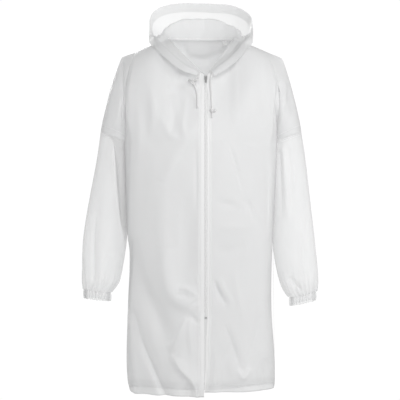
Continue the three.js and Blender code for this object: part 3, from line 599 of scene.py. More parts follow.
def panel_columns(face, across, wall_steps, arm_steps):
    """Column places from the middle out: across and wall on the body, turn on the arm."""
    walls = np.arange(1, wall_steps + 1) / wall_steps if face < 0 else np.array([])
    turns = np.arange(1, arm_steps + 1) / arm_steps
    blank = np.full(len(across) + len(walls), np.nan)
    return (
        np.concatenate([across, np.ones(len(walls) + len(turns))]),
        np.concatenate([np.zeros(len(across)), walls, np.zeros(len(turns))]),
        np.concatenate([blank, turns]),
    )


def half_panel(face, side, columns, lower_rows, upper_rows):
    """One half of a panel as a grid: rows from the hem up, columns from the middle out."""
    across, wall, turn = columns
    hem = lerp(HEM_Z[panel_word(face, side)], HEM_Z[WORD[side] + "_side"], across**2 if face > 0 else across)
    up = (np.arange(lower_rows) / lower_rows)[:, None]
    z = lerp(hem[None, :], UNDERARM_Z, up)
    lower = body_point(face, side, np.broadcast_to(across, z.shape), np.broadcast_to(wall, z.shape), z)
    lower[:, ~np.isnan(turn)] = np.nan
    share = (np.arange(upper_rows + 1) / upper_rows)[:, None]
    share = np.broadcast_to(share, (upper_rows + 1, len(across)))
    wide = [np.broadcast_to(column, share.shape) for column in columns]
    return np.concatenate([lower, upper_point(face, side, wide, share)])


# Folds


FADED_END = 0.12  # share of a fold's depth that is left at its ends
FADE_ROUND = 0.7
SHARPNESS = 1.6


class Fold(NamedTuple):
    """A fold along a path of places on a sheet.

    It is soft (a swell) or, with crease up to 1, sharp. lean makes the side on the left of its path steeper if it
    is above 0, and the right side if below. open_end keeps its last end from fading out.
    """

    path: list
    reach: float
    depth: float
    crease: float = 0
    lean: float = 0
    open_end: bool = False


def through(points, samples=28):
    """A smooth line through a few points, as samples of it."""
    places = np.linspace(0, len(points) - 1, samples)
    return curve(np.arange(len(points), dtype=float), np.array(points, float), places)


def fold_lift(folds, u, v):
    """How far folds lift a sheet at its own places u, v."""
    lift = np.zeros(u.shape)
    for fold in folds:
        line = through(fold.path)
        start, step = line[:-1], np.diff(line, axis=0)
        du, dv = u[..., None] - start[:, 0], v[..., None] - start[:, 1]
        share = np.clip((du * step[:, 0] + dv * step[:, 1]) / (step**2).sum(axis=1), 0, 1)
        gaps = np.hypot(du - share * step[:, 0], dv - share * step[:, 1])
        nearest = gaps.argmin(axis=-1)[..., None]
        gap = np.take_along_axis(gaps, nearest, axis=-1)[..., 0]
        along = (nearest + np.take_along_axis(share, nearest, axis=-1))[..., 0] / len(step)
        cross = step[:, 0] * dv - step[:, 1] * du
        side = np.sign(np.take_along_axis(cross, nearest, axis=-1)[..., 0])
        reach = fold.reach * (1 - side * fold.lean)
        start_fade, end_fade = (
            np.sin(np.clip(along, low, high) * np.pi) ** FADE_ROUND for low, high in ((0, 0.5), (0.5, 1))
        )
        fade = FADED_END + (1 - FADED_END) * start_fade * (1 if fold.open_end else end_fade)
        soft = np.exp(-((gap / reach) ** 2))
        sharp = np.exp(-SHARPNESS * gap / reach)
        lift += fold.depth * fade * lerp(soft, sharp, fold.crease)
    return lift


# Each fold's path, reach and depth; the places on a body panel are its x and z
FRONT_RIGHT_FOLDS = [
    Fold([(-222, -34), (-219, -110), (-214, -200), (-210, -262)], 7, -9, crease=0.6),
    Fold([(-208, -40), (-204, -120), (-198, -210), (-196, -290)], 12, 4),
    Fold([(-236, -84), (-246, -150), (-252, -210)], 10, 4),
    Fold([(-14, -218), (-60, -298), (-106, -380)], 18, 4, lean=0.3),
    Fold([(-104, -380), (-106, -496), (-98, -612), (-88, -664)], 22, 4.5),
    Fold([(-100, -560), (-95, -630), (-86, -670), (-66, -698), (-30, -712), (2, -700)], 24, 10, lean=-0.25),
    Fold([(-196, -540), (-166, -660), (-122, -738), (-92, -820)], 26, -16),
    Fold([(-40, -420), (-36, -520), (-40, -600), (-54, -664)], 24, -5),
    Fold([(-186, -732), (-167, -812), (-138, -878), (-104, -950), (-84, -1000)],
         15, -14, crease=0.7, lean=-0.4, open_end=True),
    Fold([(-197, -740), (-186, -830), (-176, -925), (-170, -1000)], 10, 5, open_end=True),
    Fold([(-38, -746), (-60, -790), (-80, -843)], 22, 11, crease=0.3, lean=-0.5),
    Fold([(-80, -843), (-54, -886), (-20, -926), (6, -1000)], 20, 13, crease=0.6, lean=-0.5, open_end=True),
    Fold([(-27, -735), (-30, -790), (-24, -850)], 7, 3),
    Fold([(-12, -290), (-11, -370), (-13, -458)], 7, -3, crease=0.4),
    Fold([(-58, -666), (-36, -670), (-2, -690)], 7, 4, crease=0.4),
    Fold([(-64, -684), (-44, -686), (-30, -692)], 5, -4, crease=0.5),
    Fold([(-12, -634), (-4, -652), (4, -664)], 5, 3, crease=0.4),
    Fold([(-30, -720), (-14, -704), (4, -698)], 6, -4, crease=0.5),
    Fold([(-34, -736), (-18, -748), (-4, -760)], 7, -4, crease=0.3),
    Fold([(-150, -300), (-160, -400), (-166, -520)], 20, -3),
    Fold([(-170, -120), (-150, -220), (-120, -300)], 22, -3),
    Fold([(-138, -118), (-130, -185), (-138, -253)], 11, 3),
    Fold([(-84, -131), (-73, -207), (-80, -250)], 10, -3),
    Fold([(-40, -145), (-49, -226), (-40, -262)], 9, 2.5),
    Fold([(-111, -205), (-90, -240), (-68, -266)], 11, 2.5),
    Fold([(-176, -150), (-168, -240), (-176, -330)], 12, 2.5),
    Fold([(-46, -120), (-70, -136), (-104, -140)], 12, -2.5),
]
FRONT_LEFT_FOLDS = [
    Fold([(211, -92), (199, -150), (195, -262)], 5, 4, crease=0.4),
    Fold([(217, -100), (208, -165), (203, -264)], 8, -7, crease=0.3),
    Fold([(232, -90), (228, -160), (214, -240)], 9, 5, lean=0.3),
    Fold([(246, -130), (252, -180), (244, -236)], 8, -3),
    Fold([(77, -277), (91, -322), (114, -404)], 5, -2.2, crease=0.5),
    Fold([(44, -436), (76, -440), (104, -452)], 10, -2.4, crease=0.3),
    Fold([(118, -424), (136, -452), (152, -490)], 8, -3, crease=0.3),
    Fold([(52, -500), (96, -506), (140, -498)], 12, 2),
    Fold([(30, -560), (70, -566), (120, -552)], 16, -2),
    Fold([(35, -646), (48, -676), (68, -712)], 8, -5, crease=0.4, lean=0.3),
    Fold([(48, -640), (62, -672), (82, -708)], 9, 3.5),
    Fold([(89, -617), (98, -680), (111, -742)], 9, 2.5, crease=0.4),
    Fold([(66, -765), (90, -830), (114, -900)], 12, -5, crease=0.3, lean=0.3),
    Fold([(160, -740), (142, -820), (120, -898)], 14, -5, crease=0.3),
    Fold([(98, -888), (116, -908), (134, -884)], 9, 6, crease=0.4),
    Fold([(76, -815), (60, -870), (56, -940), (54, -1000)], 22, -7, crease=0.2, open_end=True),
    Fold([(30, -830), (38, -890), (34, -1000)], 12, 4, open_end=True),
    Fold([(172, -860), (176, -900), (170, -1000)], 12, -4, open_end=True),
    Fold([(160, -300), (150, -400), (164, -520)], 20, -3),
    Fold([(178, -320), (182, -440), (176, -560)], 9, 2.5),
    Fold([(150, -120), (150, -200), (130, -280)], 20, -3),
]
BACK_FOLDS = [
    Fold([(66, -4), (36, -18), (8, -26), (-38, -20)], 11, 13, crease=0.2),
    Fold([(-46, 20), (-45, 2), (-41, -16)], 7, 6, crease=0.3),
    Fold([(-70, -180), (-90, -420), (-60, -640)], 26, -8),
    Fold([(60, -240), (94, -470), (84, -720)], 28, -9),
    Fold([(-120, -520), (-130, -740), (-96, -930)], 24, 9),
    Fold([(-10, -420), (14, -640), (-6, -900)], 24, 7),
    Fold([(120, -600), (132, -760), (118, -940)], 22, 8),
    Fold([(-30, -700), (-52, -820), (-40, -945)], 22, -8),
    Fold([(50, -760), (62, -850), (44, -945)], 20, -7),
    Fold([(-150, -250), (-110, -330), (-60, -380)], 12, 4, crease=0.4),
    Fold([(150, -260), (120, -340), (70, -400)], 12, 4, crease=0.4),
    Fold([(-40, -560), (0, -590), (52, -580)], 9, -3, crease=0.5),
    Fold([(-170, -700), (-150, -800), (-160, -940)], 16, -5),
    Fold([(168, -420), (160, -560), (172, -700)], 16, -5),
]
# Places on a sleeve are its own: 400 for one turn round from the armpit over the front, and the height
SLEEVE_FOLDS = {
    -1: [
        Fold([(142, -240), (112, -262), (97, -293), (75, -401), (57, -482), (35, -540)],
             8, 5, crease=0.3, lean=-0.3),
        Fold([(120, -245), (76, -310), (54, -410), (36, -500)], 15, -8),
        Fold([(134, -430), (130, -560), (116, -672)], 10, -9, crease=0.4, lean=0.3),
        Fold([(160, -430), (156, -560), (140, -672)], 12, 7, crease=0.2),
        Fold([(70, -560), (84, -620), (100, -680)], 12, -4),
        Fold([(290, -300), (280, -440), (300, -600)], 16, -6),
        Fold([(250, -420), (240, -540), (250, -660)], 13, 5),
        Fold([(340, -380), (330, -500), (345, -640)], 14, 5),
    ],
    1: [
        Fold([(60, -264), (58, -360), (62, -478)], 9, -6, crease=0.4),
        Fold([(78, -262), (80, -360), (84, -480)], 10, 5, crease=0.3),
        Fold([(100, -280), (98, -380), (96, -470)], 10, -4),
        Fold([(66, -640), (84, -668), (102, -688)], 9, -7, crease=0.3),
        Fold([(150, -360), (146, -500), (140, -640)], 14, -4),
        Fold([(120, -500), (118, -580), (112, -668)], 10, 4),
        Fold([(296, -300), (284, -450), (300, -620)], 16, -6),
        Fold([(250, -400), (244, -540), (252, -660)], 13, 5),
    ],
}

# The sleeves' slack lies double beside the body, from the armpit's line to this one; there the sleeve film is denser
# and darker, the darkness being painted shade
SLACK = named("z right left", [
    (-560, 14, 20),
    (-536, 32, 34),
    (-482, 54, 64),
    (-401, 72, 96),
    (-293, 94, 134),
    (-262, 112, 156),
    (-236, 140, 180),
])
# How dense the slack is on each side and how much painted shade it gets: the right sleeve, on the less lit side, gets
# most
SLACK_DENSITY_AND_SHADE = {-1: 0.95, 1: 0.1}
SLACK_EDGE = {-1: 5, 1: 24}


# Turnings: a strip of the sheet's own edge, folded back inside it

FILM_GAP = 0.7
HEM_TURN = 22
TURNED_ROWS = 4
TURNED_DENSITY = -1.2


def turned(grid):
    """The grid with its hem's turning before its first row, as rows that lie just inside the sheet."""
    inner = grid - grid_normals(grid) * FILM_GAP
    length = lengths(grid)
    reaches = HEM_TURN * np.linspace(0, 1, TURNED_ROWS)[::-1]
    turning = np.full((TURNED_ROWS, *grid.shape[1:]), np.nan)
    for j in range(grid.shape[1]):
        known = ~np.isnan(inner[:, j, 0])
        if known[0]:
            turning[:, j] = points_at(reaches, length[known, j], inner[known, j])
    return np.concatenate([turning, grid])


def hem_density(whole):
    """The turned rows are clearer than plain film, so that the hem shows as faintly as in the photo."""
    density = np.zeros(whole.shape[:2])
    density[:TURNED_ROWS] = TURNED_DENSITY
    return density


# Body panels

LOWER_ROWS = 170
UPPER_ROWS = 70
FRONT_STEPS = 84
BACK_STEPS = 64
WALL_STEPS = 10
ARM_STEPS = 36
ZIP_TURN = {-1: 12, 1: 9}
ZIP_STITCH = {-1: 10, 1: 6}
ZIP_CALM = {"from": 8, "fade": 26}
NECK_CALM = {"from": 30, "fade": 36}
ARMHOLE_FADE = 20
EDGE_SHIFT_REACH = 30
RIPPLES = named("height length phase", [
    (1.6, 17, 0.6),
    (1.1, 9.3, 2),
    (0.8, 29, 0),
])
RIPPLE_FADE = 90


def ripple(u, v, hem):
    """Small waves along the hem that die out above it."""
    near = np.exp(-np.maximum(v - hem, 0) / RIPPLE_FADE)
    return near * sum(wave["height"] * np.sin(u / wave["length"] + wave["phase"]) for wave in RIPPLES)


def front_grid(side):
    across = np.linspace(0, 1, FRONT_STEPS + 1)
    grid = half_panel(-1, side, panel_columns(-1, across, WALL_STEPS, ARM_STEPS), LOWER_ROWS, UPPER_ROWS)
    if side < 0:
        grid = grid[:, ::-1]
    x, z = grid[..., 0], grid[..., 2]
    calm = ease((np.abs(x - ZIP_X) - ZIP_CALM["from"]) / ZIP_CALM["fade"])
    calm = calm * ease((OUTER - np.abs(x)) / ARMHOLE_FADE)
    folds = FRONT_RIGHT_FOLDS if side < 0 else FRONT_LEFT_FOLDS
    lift = (fold_lift(folds, x, z) + ripple(x, z, HEM_Z["left_front"])) * calm
    grid = grid + grid_normals(grid) * lift[..., None]
    by_zip = grid[:, -1 if side < 0 else 0]
    shift = ZIP_X + read(EDGES, "z", WORD[side], by_zip[:, 2]) - by_zip[:, 0]
    near = ease(1 - np.abs(grid[..., 0] - ZIP_X) / EDGE_SHIFT_REACH)
    grid[..., 0] += near * shift[:, None]
    return grid


def front_piece(side):
    grid = front_grid(side)
    whole = turned(grid)
    edge = whole[:, -1:, 0] if side < 0 else whole[:, :1, 0]
    facing = ease(1.5 - np.abs(whole[..., 0] - edge) / ZIP_TURN[side])
    doubled_and_shade = np.where(facing > 0, facing, hem_density(whole))
    piece = sheet_piece("front_film_" + WORD[side], whole, FILM, doubled_and_shade=doubled_and_shade)
    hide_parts("front_" + WORD[side])
    return piece, grid


def back_piece():
    columns = panel_columns(1, np.linspace(0, 1, BACK_STEPS + 1), WALL_STEPS, ARM_STEPS)
    right, left = (half_panel(1, side, columns, LOWER_ROWS, UPPER_ROWS) for side in (-1, 1))
    grid = np.concatenate([left[:, ::-1], right[:, 1:]], axis=1)
    x, z = grid[..., 0], grid[..., 2]
    calm = ease((OUTER - np.abs(x)) / ARMHOLE_FADE) * ease((NECK_CALM["from"] - z) / NECK_CALM["fade"])
    lift = (fold_lift(BACK_FOLDS, x, z) + ripple(x + 40, z, HEM_Z["back"])) * calm
    grid = grid + grid_normals(grid) * lift[..., None]
    whole = turned(grid)
    piece = sheet_piece("back_film", whole, FILM, doubled_and_shade=hem_density(whole))
    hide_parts("back")
    return piece, grid


# Sleeves and cuffs

SLEEVE_ROUND = 132
SLEEVE_ROWS = 150
SLEEVE_UNITS = 400
CUFF_GATHERS = 24
CUFF_HEIGHT = 24
CUFF_TAPER = 2
CUFF_INSET = 1.75
CUFF_SWELL = 1.1
# How far down each row of a cuff lies, as a share of its height, and how far inside
CUFF_PROFILE = [
    (0, 0), (0.12, 0), (0.3, 0), (0.5, 0), (0.7, 0), (0.9, 0),
    (1, 0.3), (0.95, 1.4), (0.6, 1.6), (0.2, 1.6), (0, 1.6),
]
PUCKER = 3.5
PUCKER_WAVES = named("height count phase", [
    (0.5, 8, 0),
    (0.3, 13, 1),
    (0.35, 24, 0),
])
GATHER_DEPTH = {-1: 1, 1: 0.6}


def sleeve_ring(side, turn, down):
    rows = SLEEVE[side]
    z = lerp(rows[0]["z"], rows[-1]["z"], down)
    inner, outer, middle_y, depth, tilt = (
        read(rows, "z", column, z) for column in ("inner", "outer", "y", "depth", "tilt")
    )
    angle = turn * 2 * np.pi
    waves = sum(wave["height"] * np.cos(angle * wave["count"] + wave["phase"]) for wave in PUCKER_WAVES)
    pucker = PUCKER * waves * ease((down - 0.8) / 0.2)
    x = (inner + outer) / 2 - ((outer - inner) / 2 + pucker) * np.cos(angle)
    return stack(side * x, middle_y - (depth + pucker) * np.sin(angle), z - tilt * np.cos(angle) / 2)


def sleeve_piece(side):
    word = WORD[side]
    turn = np.arange(SLEEVE_ROUND) / SLEEVE_ROUND
    down = (np.arange(SLEEVE_ROWS + 1) / SLEEVE_ROWS)[:, None]
    turn, down = np.broadcast_arrays(turn[None, :], down)
    grid = sleeve_ring(side, turn, down)
    if side > 0:
        grid, turn = grid[:, ::-1], turn[:, ::-1]
    along = turn * SLEEVE_UNITS
    lift = fold_lift(SLEEVE_FOLDS[side], along, grid[..., 2])
    lift = lift * ease(down * 12) * ease((1 - down) * 14)
    grid = grid + grid_normals(grid, closed=True) * lift[..., None]
    # The slack's mask: there the sleeve film is denser and takes its darker tone, which is painted shade beside the
    # body
    slack = read(SLACK, "z", word, grid[..., 2])
    doubled_and_shade = ease((slack - along) / SLACK_EDGE[side] + 0.5) * ease(along / 6)
    doubled_and_shade = doubled_and_shade * ease((grid[..., 2] - SLACK[0]["z"]) / 60) * SLACK_DENSITY_AND_SHADE[side]
    piece = sheet_piece("sleeve_film_" + word, grid, SLEEVE_FILM, closed=True, doubled_and_shade=doubled_and_shade)
    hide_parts("sleeve_" + word)
    return piece, grid


def cuff_piece(side):
    word = WORD[side]
    steps = CUFF_GATHERS * 10
    turn = np.arange(steps) / steps
    angle = turn * 2 * np.pi
    end = sleeve_ring(side, turn, np.ones(steps))
    deepest = 0.7 * np.exp(-(((turn - 0.42) / 0.09) ** 2))
    uneven = GATHER_DEPTH[side] * (0.55 + deepest + 0.2 * np.sin(angle * 5))
    gathers = 1.5 * uneven * np.cos(angle * CUFF_GATHERS + 0.8 * np.sin(angle * 2))
    rows = []
    for down, inside in CUFF_PROFILE:
        swell = CUFF_SWELL * math.sin(min(down / 0.9, 1) * math.pi)
        wave = gathers - CUFF_TAPER - CUFF_INSET + swell - inside
        dip = 1.1 * uneven * np.cos(angle * CUFF_GATHERS + 1.2) * down
        z = end[:, 2] - down * CUFF_HEIGHT - dip
        rows.append(stack(end[:, 0] - side * np.cos(angle) * wave, end[:, 1] - np.sin(angle) * wave, z))
    grid = np.stack(rows)
    if side > 0:
        grid = grid[:, ::-1]
    piece = sheet_piece("cuff_casing_" + word, grid, CUFF_FILM, closed=True)
    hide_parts("cuff_" + word)
    return piece, grid


# Hood

NECK_STOPS = [0, 0.2, 0.4, 0.6, 0.8, 1, 1.25, 1.5, 1.75, 2]
HOOD_PLACES = [0, 0.1, 0.2, 0.3, 0.4, 0.5, 0.6, 0.7, 0.8, 0.9, 1, 1.125, 1.25, 1.375, 1.5, 1.625, 1.75, 1.875, 2]
REST_CLEAR = 3
CREST_CLEAR = 5
STAND_CLEAR = 3.5
STAND_FOOT = 0.1
CASING_WIDTH = 26
SEAM = 0.3
HOOD_ROWS = 100
HOOD_STEPS = 6
CASING_ROWS = 14
CASING_GAP = 2.2
CASING_BULGE = 1.2
REST_ROWS = (25, 9)
REST_STEPS = (2, 12)
FRONT_ACROSS = [0, 0.0936, 0.1872, 0.2808, 0.3744, 0.468, 0.57, 0.68, 0.79, 0.88, 0.95, 1]
BACK_ACROSS = [0, 0.1096, 0.2193, 0.3289, 0.4385, 0.56, 0.68, 0.79, 0.89, 0.955, 1]


def resting_places():
    """The panels' points above the underarm, with the directions they face in."""
    points, normals = [], []
    for face, across in ((-1, FRONT_ACROSS), (1, BACK_ACROSS)):
        for side in (-1, 1):
            grid = half_panel(face, side, panel_columns(face, np.array(across), *REST_STEPS), *REST_ROWS)
            if face * side > 0:
                grid = grid[:, ::-1]
            points.append(grid[REST_ROWS[0] :].reshape(-1, 3))
            normals.append(grid_normals(grid)[REST_ROWS[0] :].reshape(-1, 3))
    return np.concatenate(points), np.concatenate(normals)


rest_points, rest_normals = resting_places()


def resting(point, clear):
    nearest = ((rest_points - point) ** 2).sum(axis=1).argmin()
    off = (point - rest_points[nearest]) @ rest_normals[nearest]
    return point + rest_normals[nearest] * max(clear - off, 0)


def neck_seam(at):
    side = -1 if at <= 2 else 1
    along = at if at <= 2 else 4 - at
    i = int(np.clip(np.searchsorted(NECK_STOPS, along) - 1, 0, len(NECK_STOPS) - 2))
    ends = [neckline(side, stop) for stop in NECK_STOPS[i : i + 2]]
    if i == 0:
        ends[0][0] = ZIP_X + side * ZIP_HALF_GAP
    share = (along - NECK_STOPS[i]) / (NECK_STOPS[i + 1] - NECK_STOPS[i])
    return lerp(ends[0], ends[1], share) + (0, 0, SEAM)


def centripetal(points, samples=240, steps=40):
    """A centripetal Catmull-Rom curve through points, as evenly spaced samples with its length."""
    points = np.asarray(points)
    padded = np.concatenate([[2 * points[0] - points[1]], points, [2 * points[-1] - points[-2]]])
    line = []
    for i in range(len(points) - 1):
        p0, p1, p2, p3 = padded[i : i + 4]
        d0, d1, d2 = (max(np.linalg.norm(b - a), 1e-4) ** 0.5 for a, b in ((p0, p1), (p1, p2), (p2, p3)))
        t1 = ((p1 - p0) / d0 - (p2 - p0) / (d0 + d1) + (p2 - p1) / d1) * d1
        t2 = ((p2 - p1) / d1 - (p3 - p1) / (d1 + d2) + (p3 - p2) / d2) * d1
        t = np.linspace(0, 1, steps, endpoint=False)[:, None]
        line.append(p1 + t1 * t + (-3 * p1 + 3 * p2 - 2 * t1 - t2) * t**2 + (2 * p1 - 2 * p2 + t1 + t2) * t**3)
    line = np.concatenate([*line, points[-1:]])
    length = lengths(line)
    return points_at(np.linspace(0, length[-1], samples), length, line), length[-1]


def hood_column(at):
    """The hood's points at one place, from the neck seam to the casing's start, and from there to the edge."""
    neck = neck_seam(at)
    crest, edge, drop, back = (read(HOOD, "at", column, at) for column in ("crest", "edge", "drop", "back"))
    crest_length = np.linalg.norm(crest - neck)
    crest = resting(crest, CREST_CLEAR)
    edge = resting(edge, REST_CLEAR)
    bottom = (crest + edge) / 2 + (0, back, -drop)
    near = (crest + bottom) / 2
    far = (bottom + edge) / 2 + (0, 0.12 * max(drop, 0), 0)
    stand = [resting(lerp(neck, crest, share), STAND_CLEAR) for share in (STAND_FOOT, 0.5)]
    outside = [resting(point, REST_CLEAR) for point in (near, bottom, far)]
    line, length = centripetal([neck, *stand, crest, *outside, edge])
    casing = 1 - min(CASING_WIDTH, 0.8 * (length - crest_length)) / length
    shares = np.concatenate([np.linspace(0, casing, HOOD_ROWS), np.linspace(casing, 1, CASING_ROWS + 1)[1:]])
    return points_at(shares, np.linspace(0, 1, len(line)), line)


def hood_surface():
    """The hood as a grid: rows from the neck seam to the edge, columns from the wearer's left to right."""
    places = HOOD_PLACES + [4 - at for at in HOOD_PLACES[-2::-1]]
    known = np.stack([hood_column(at) for at in places])
    up = np.linspace(0, 1, known.shape[1])[:, None]
    evened = (known[:-2] + 2 * known[1:-1] + known[2:]) / 4
    known[1:-1] = lerp(known[1:-1], evened, ease(up * 8) * ease((0.75 - up) * 5))
    fine = np.unique(np.concatenate([np.linspace(a, b, HOOD_STEPS + 1) for a, b in zip(places, places[1:])]))
    grid = curve(np.array(places), known, fine).transpose(1, 0, 2)
    return grid[:, ::-1], fine[::-1]


# Places on the hood are its own: the one along the neck, and 0 at the neck seam to 1 at the edge
HOOD_FOLDS = [
    Fold([(1.5, 0.3), (1.58, 0.55), (1.52, 0.8)], 0.05, 5),
    Fold([(2.4, 0.3), (2.46, 0.55), (2.42, 0.85)], 0.05, 5),
    Fold([(1.9, 0.35), (1.95, 0.6), (1.9, 0.82)], 0.07, -5),
    Fold([(2.15, 0.4), (2.1, 0.6), (2.16, 0.8)], 0.06, 4),
    Fold([(1.3, 0.2), (1.36, 0.5), (1.3, 0.75)], 0.05, -4),
    Fold([(2.66, 0.2), (2.62, 0.5), (2.7, 0.75)], 0.05, -4),
    Fold([(2.08, 0.04), (2.03, 0.14), (2.05, 0.26)], 0.03, 3.5),
    Fold([(1.6, 0.24), (1.72, 0.13), (1.8, 0.04)], 0.035, -4.5),
    Fold([(2.3, 0.06), (2.42, 0.14), (2.5, 0.24)], 0.04, 4),
    Fold([(1.9, 0.04), (1.86, 0.1), (1.92, 0.2)], 0.03, 2.5),
]


def hood_pieces():
    grid, places = hood_surface()
    up = np.linspace(0, 1, grid.shape[0])[:, None]
    at, up = np.broadcast_arrays(places[None, :], up)
    lift = fold_lift(HOOD_FOLDS, at, up) * ease((1 - up) * 6) * ease(up * 6)
    grid = grid + grid_normals(grid) * lift[..., None]
    pieces = []
    for name, low, high in (
        ("hood_side_right", 0, 1.75),
        ("hood_strip", 1.75, 2.25),
        ("hood_side_left", 2.25, 4),
    ):
        part = (places >= low - 1e-6) & (places <= high + 1e-6)
        piece = sheet_piece(name.replace("hood_", "hood_film_"), grid[:, part], HOOD_FILM)
        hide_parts(name)
        pieces.append(piece)
    normals = grid_normals(grid)[-CASING_ROWS - 1 :]
    bulge = np.sin(np.linspace(0, 1, CASING_ROWS + 1) * np.pi)[:, None, None]
    casing = grid[-CASING_ROWS - 1 :] - normals * CASING_GAP - normals * bulge * CASING_BULGE
    piece = sheet_piece("hood_casing_film", casing, CASING_FILM)
    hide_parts("hood_casing")
    return [*pieces, piece], grid


# Zip

TEETH_PITCH = 2.6
TEETH_HALF_WIDTH = 2.5
CHAIN_TOP_Z = -104
TAPE_TOP_Z = -80
TAPE_BEHIND = 1.6
TAPE_PLACES = (1.6, 2.4, 3.2, 4.5, 7, 10, 13, 15.1)
BEAD_PLACE = 2.4
BEAD_HEIGHT = 0.9
TOOTH_OVERLAP = 0.8
TOOTH_NECK = 0.55
TOOTH_HEAD = 0.9
# How far behind the fronts' edge line each layer of a tooth lies, with its share of the width and height
TOOTH_LAYERS = ((1.3, 1, 1), (-0.2, 1, 1), (-0.7, 0.9, 0.7))
ZIP_LINE_ROWS = (60, 40)


def zip_tape(side, grid):
    """A tape behind a front's edge, from beside the teeth outwards, with a bead near its inner edge."""
    rows = []
    for row in grid:
        known = row[~np.isnan(row[:, 0])]
        if side < 0:
            known = known[::-1]
        if not ZIP_END_Z < known[0, 2] < TAPE_TOP_Z:
            continue
        away = (known[:, 0] - ZIP_X) * side
        strip = []
        for distance in TAPE_PLACES:
            bead = BEAD_HEIGHT if distance == BEAD_PLACE else 0
            y = np.interp(distance, away, known[:, 1]) + TAPE_BEHIND - bead
            strip.append((ZIP_X + side * distance, y, np.interp(distance, away, known[:, 2])))
        rows.append(strip if side > 0 else strip[::-1])
    piece = sheet_piece("zip_tape_cloth_" + WORD[side], np.array(rows), TAPE)
    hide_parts("zip_tape_" + WORD[side])


def zip_teeth():
    """Teeth in turns from the left and the right, each of three layers of four corners."""
    heights, depths = zip_line()
    points, faces = [], []
    z = ZIP_END_Z
    number = 0
    while z < CHAIN_TOP_Z:
        y = np.interp(z, heights, depths)
        side = 1 if number % 2 else -1
        near, far = -TOOTH_OVERLAP * side, TEETH_HALF_WIDTH * side
        base = len(points)
        outline = [(near, TOOTH_NECK), (far, TOOTH_HEAD), (far, -TOOTH_HEAD), (near, -TOOTH_NECK)]
        for behind, width, height in TOOTH_LAYERS:
            points.extend((ZIP_X + dx * width, y + behind, z + dz * height) for dx, dz in outline)
        for ring in (0, 4):
            for k in range(4):
                a, b = base + ring + k, base + ring + (k + 1) % 4
                faces.append((a, b, b + 4, a + 4) if side < 0 else (a, a + 4, b + 4, b))
        for first in (base, base + 8):
            faces.append((first, first + 1, first + 2, first + 3))
        z += TEETH_PITCH / 2
        number += 1
    teeth = mesh_piece("zip_teeth", points, faces, TEETH, smooth=False)
    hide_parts("zip_chain")


def zip_line():
    """The fronts' edge line up the zip, as heights and depths."""
    grid = half_panel(-1, -1, panel_columns(-1, np.array([0, 0.1]), 1, 1), *ZIP_LINE_ROWS)
    return grid[:, 0, 2], grid[:, 0, 1]


def paint_small_nodes():
    for node in ("zip_slider", "zip_bottom_stop", "zip_pull"):
        frame["nodes"][node].material_slots[0].material = METAL
    frame["nodes"]["neck_label"].material_slots[0].material = LABEL


# Drawcord

CORD_RADIUS = 2.2
KNOT_RADIUS = 2.5
CORD_LEFT_ROUTE = [
    (30.8, -122.3, -86.2), (29.2, -124, -89), (27.6, -125, -92.4), (26.4, -125.6, -96.6), (25.7, -126, -102.4),
    (25.5, -126.1, -109), (25.8, -126.2, -115), (26.1, -126.3, -121), (26.4, -126.5, -127), (26.7, -126.9, -133),
    (27, -127.5, -139), (27.3, -128.3, -145), (27.7, -129.2, -151), (28.1, -130.2, -157), (28.5, -131.3, -163),
    (28.9, -132.4, -169), (29.3, -133.6, -175), (29.7, -134.8, -181), (30, -135.9, -187), (29.9, -136.9, -193),
    (29.6, -137.8, -199), (29.2, -138.6, -205),
]
CORD_RIGHT_ROUTE = [
    (-6.5, -121.4, -84.1), (-6.3, -123.2, -87.8), (-7.2, -124.7, -91.2), (-9.6, -125.9, -94.6), (-12.6, -126.5, -97.4),
    (-15.8, -126.7, -99.9), (-18.4, -126.8, -102.8), (-19.8, -126.9, -106.6), (-19.5, -126.9, -111),
    (-18.2, -126.9, -116), (-16.4, -126.9, -121), (-14.5, -126.9, -126), (-12.8, -126.9, -131.5),
    (-11.6, -126.9, -137), (-10.9, -127, -143), (-10.5, -127.2, -149), (-10.3, -127.5, -155), (-10.2, -128.1, -161),
    (-10.2, -129, -167), (-10.2, -130, -173), (-10.2, -131.1, -179),
]
TREFOIL = 1.6
KNOT_FLATNESS = 0.75
KNOT_STEPS = 90
KNOTS = {
    "left": {"at": (31.5, -136.5, -186.5), "half": (9.5, 5.4, 6.2), "lean": 0.2},
    "right": {"at": (-21.5, -128.4, -105), "half": (14, 7.4, 10.5), "lean": -0.15},
}


def tube(points, radius, sides=10):
    """Points and faces of a round tube with closed ends along a line."""
    points = np.asarray(points, float)
    ahead = unit(np.gradient(points, axis=0))
    rim = np.zeros_like(points)
    axis = np.array((0.31, 0.87, 0.38))
    for i, step in enumerate(ahead):
        axis = axis - step * (axis @ step)
        axis = axis / np.linalg.norm(axis)
        rim[i] = axis
    other = np.cross(ahead, rim)
    angle = np.arange(sides) / sides * 2 * np.pi
    ring = points[:, None] + radius * (np.cos(angle)[:, None] * rim[:, None] + np.sin(angle)[:, None] * other[:, None])
    faces = grid_faces(ring, closed=True).tolist()
    faces.append(list(range(sides)))
    faces.append(list(range(len(points) * sides - 1, (len(points) - 1) * sides - 1, -1)))
    return ring.reshape(-1, 3), faces


def knot_line(at, half, lean):
    """A trefoil knot's line round a middle, with these half sizes, leaned in the picture's plane."""
    turns = np.linspace(0, 2 * np.pi, KNOT_STEPS)
    loop = stack(
        (np.sin(turns) + TREFOIL * np.sin(2 * turns)) / (1 + TREFOIL),
        -np.sin(3 * turns) * KNOT_FLATNESS,
        (np.cos(turns) - TREFOIL * np.cos(2 * turns)) / (1 + TREFOIL),
    )
    x, y, z = (loop * (np.array(half) - KNOT_RADIUS)).T
    leaned = stack(x * math.cos(lean) + z * math.sin(lean), y, -x * math.sin(lean) + z * math.cos(lean))
    return leaned + np.array(at)


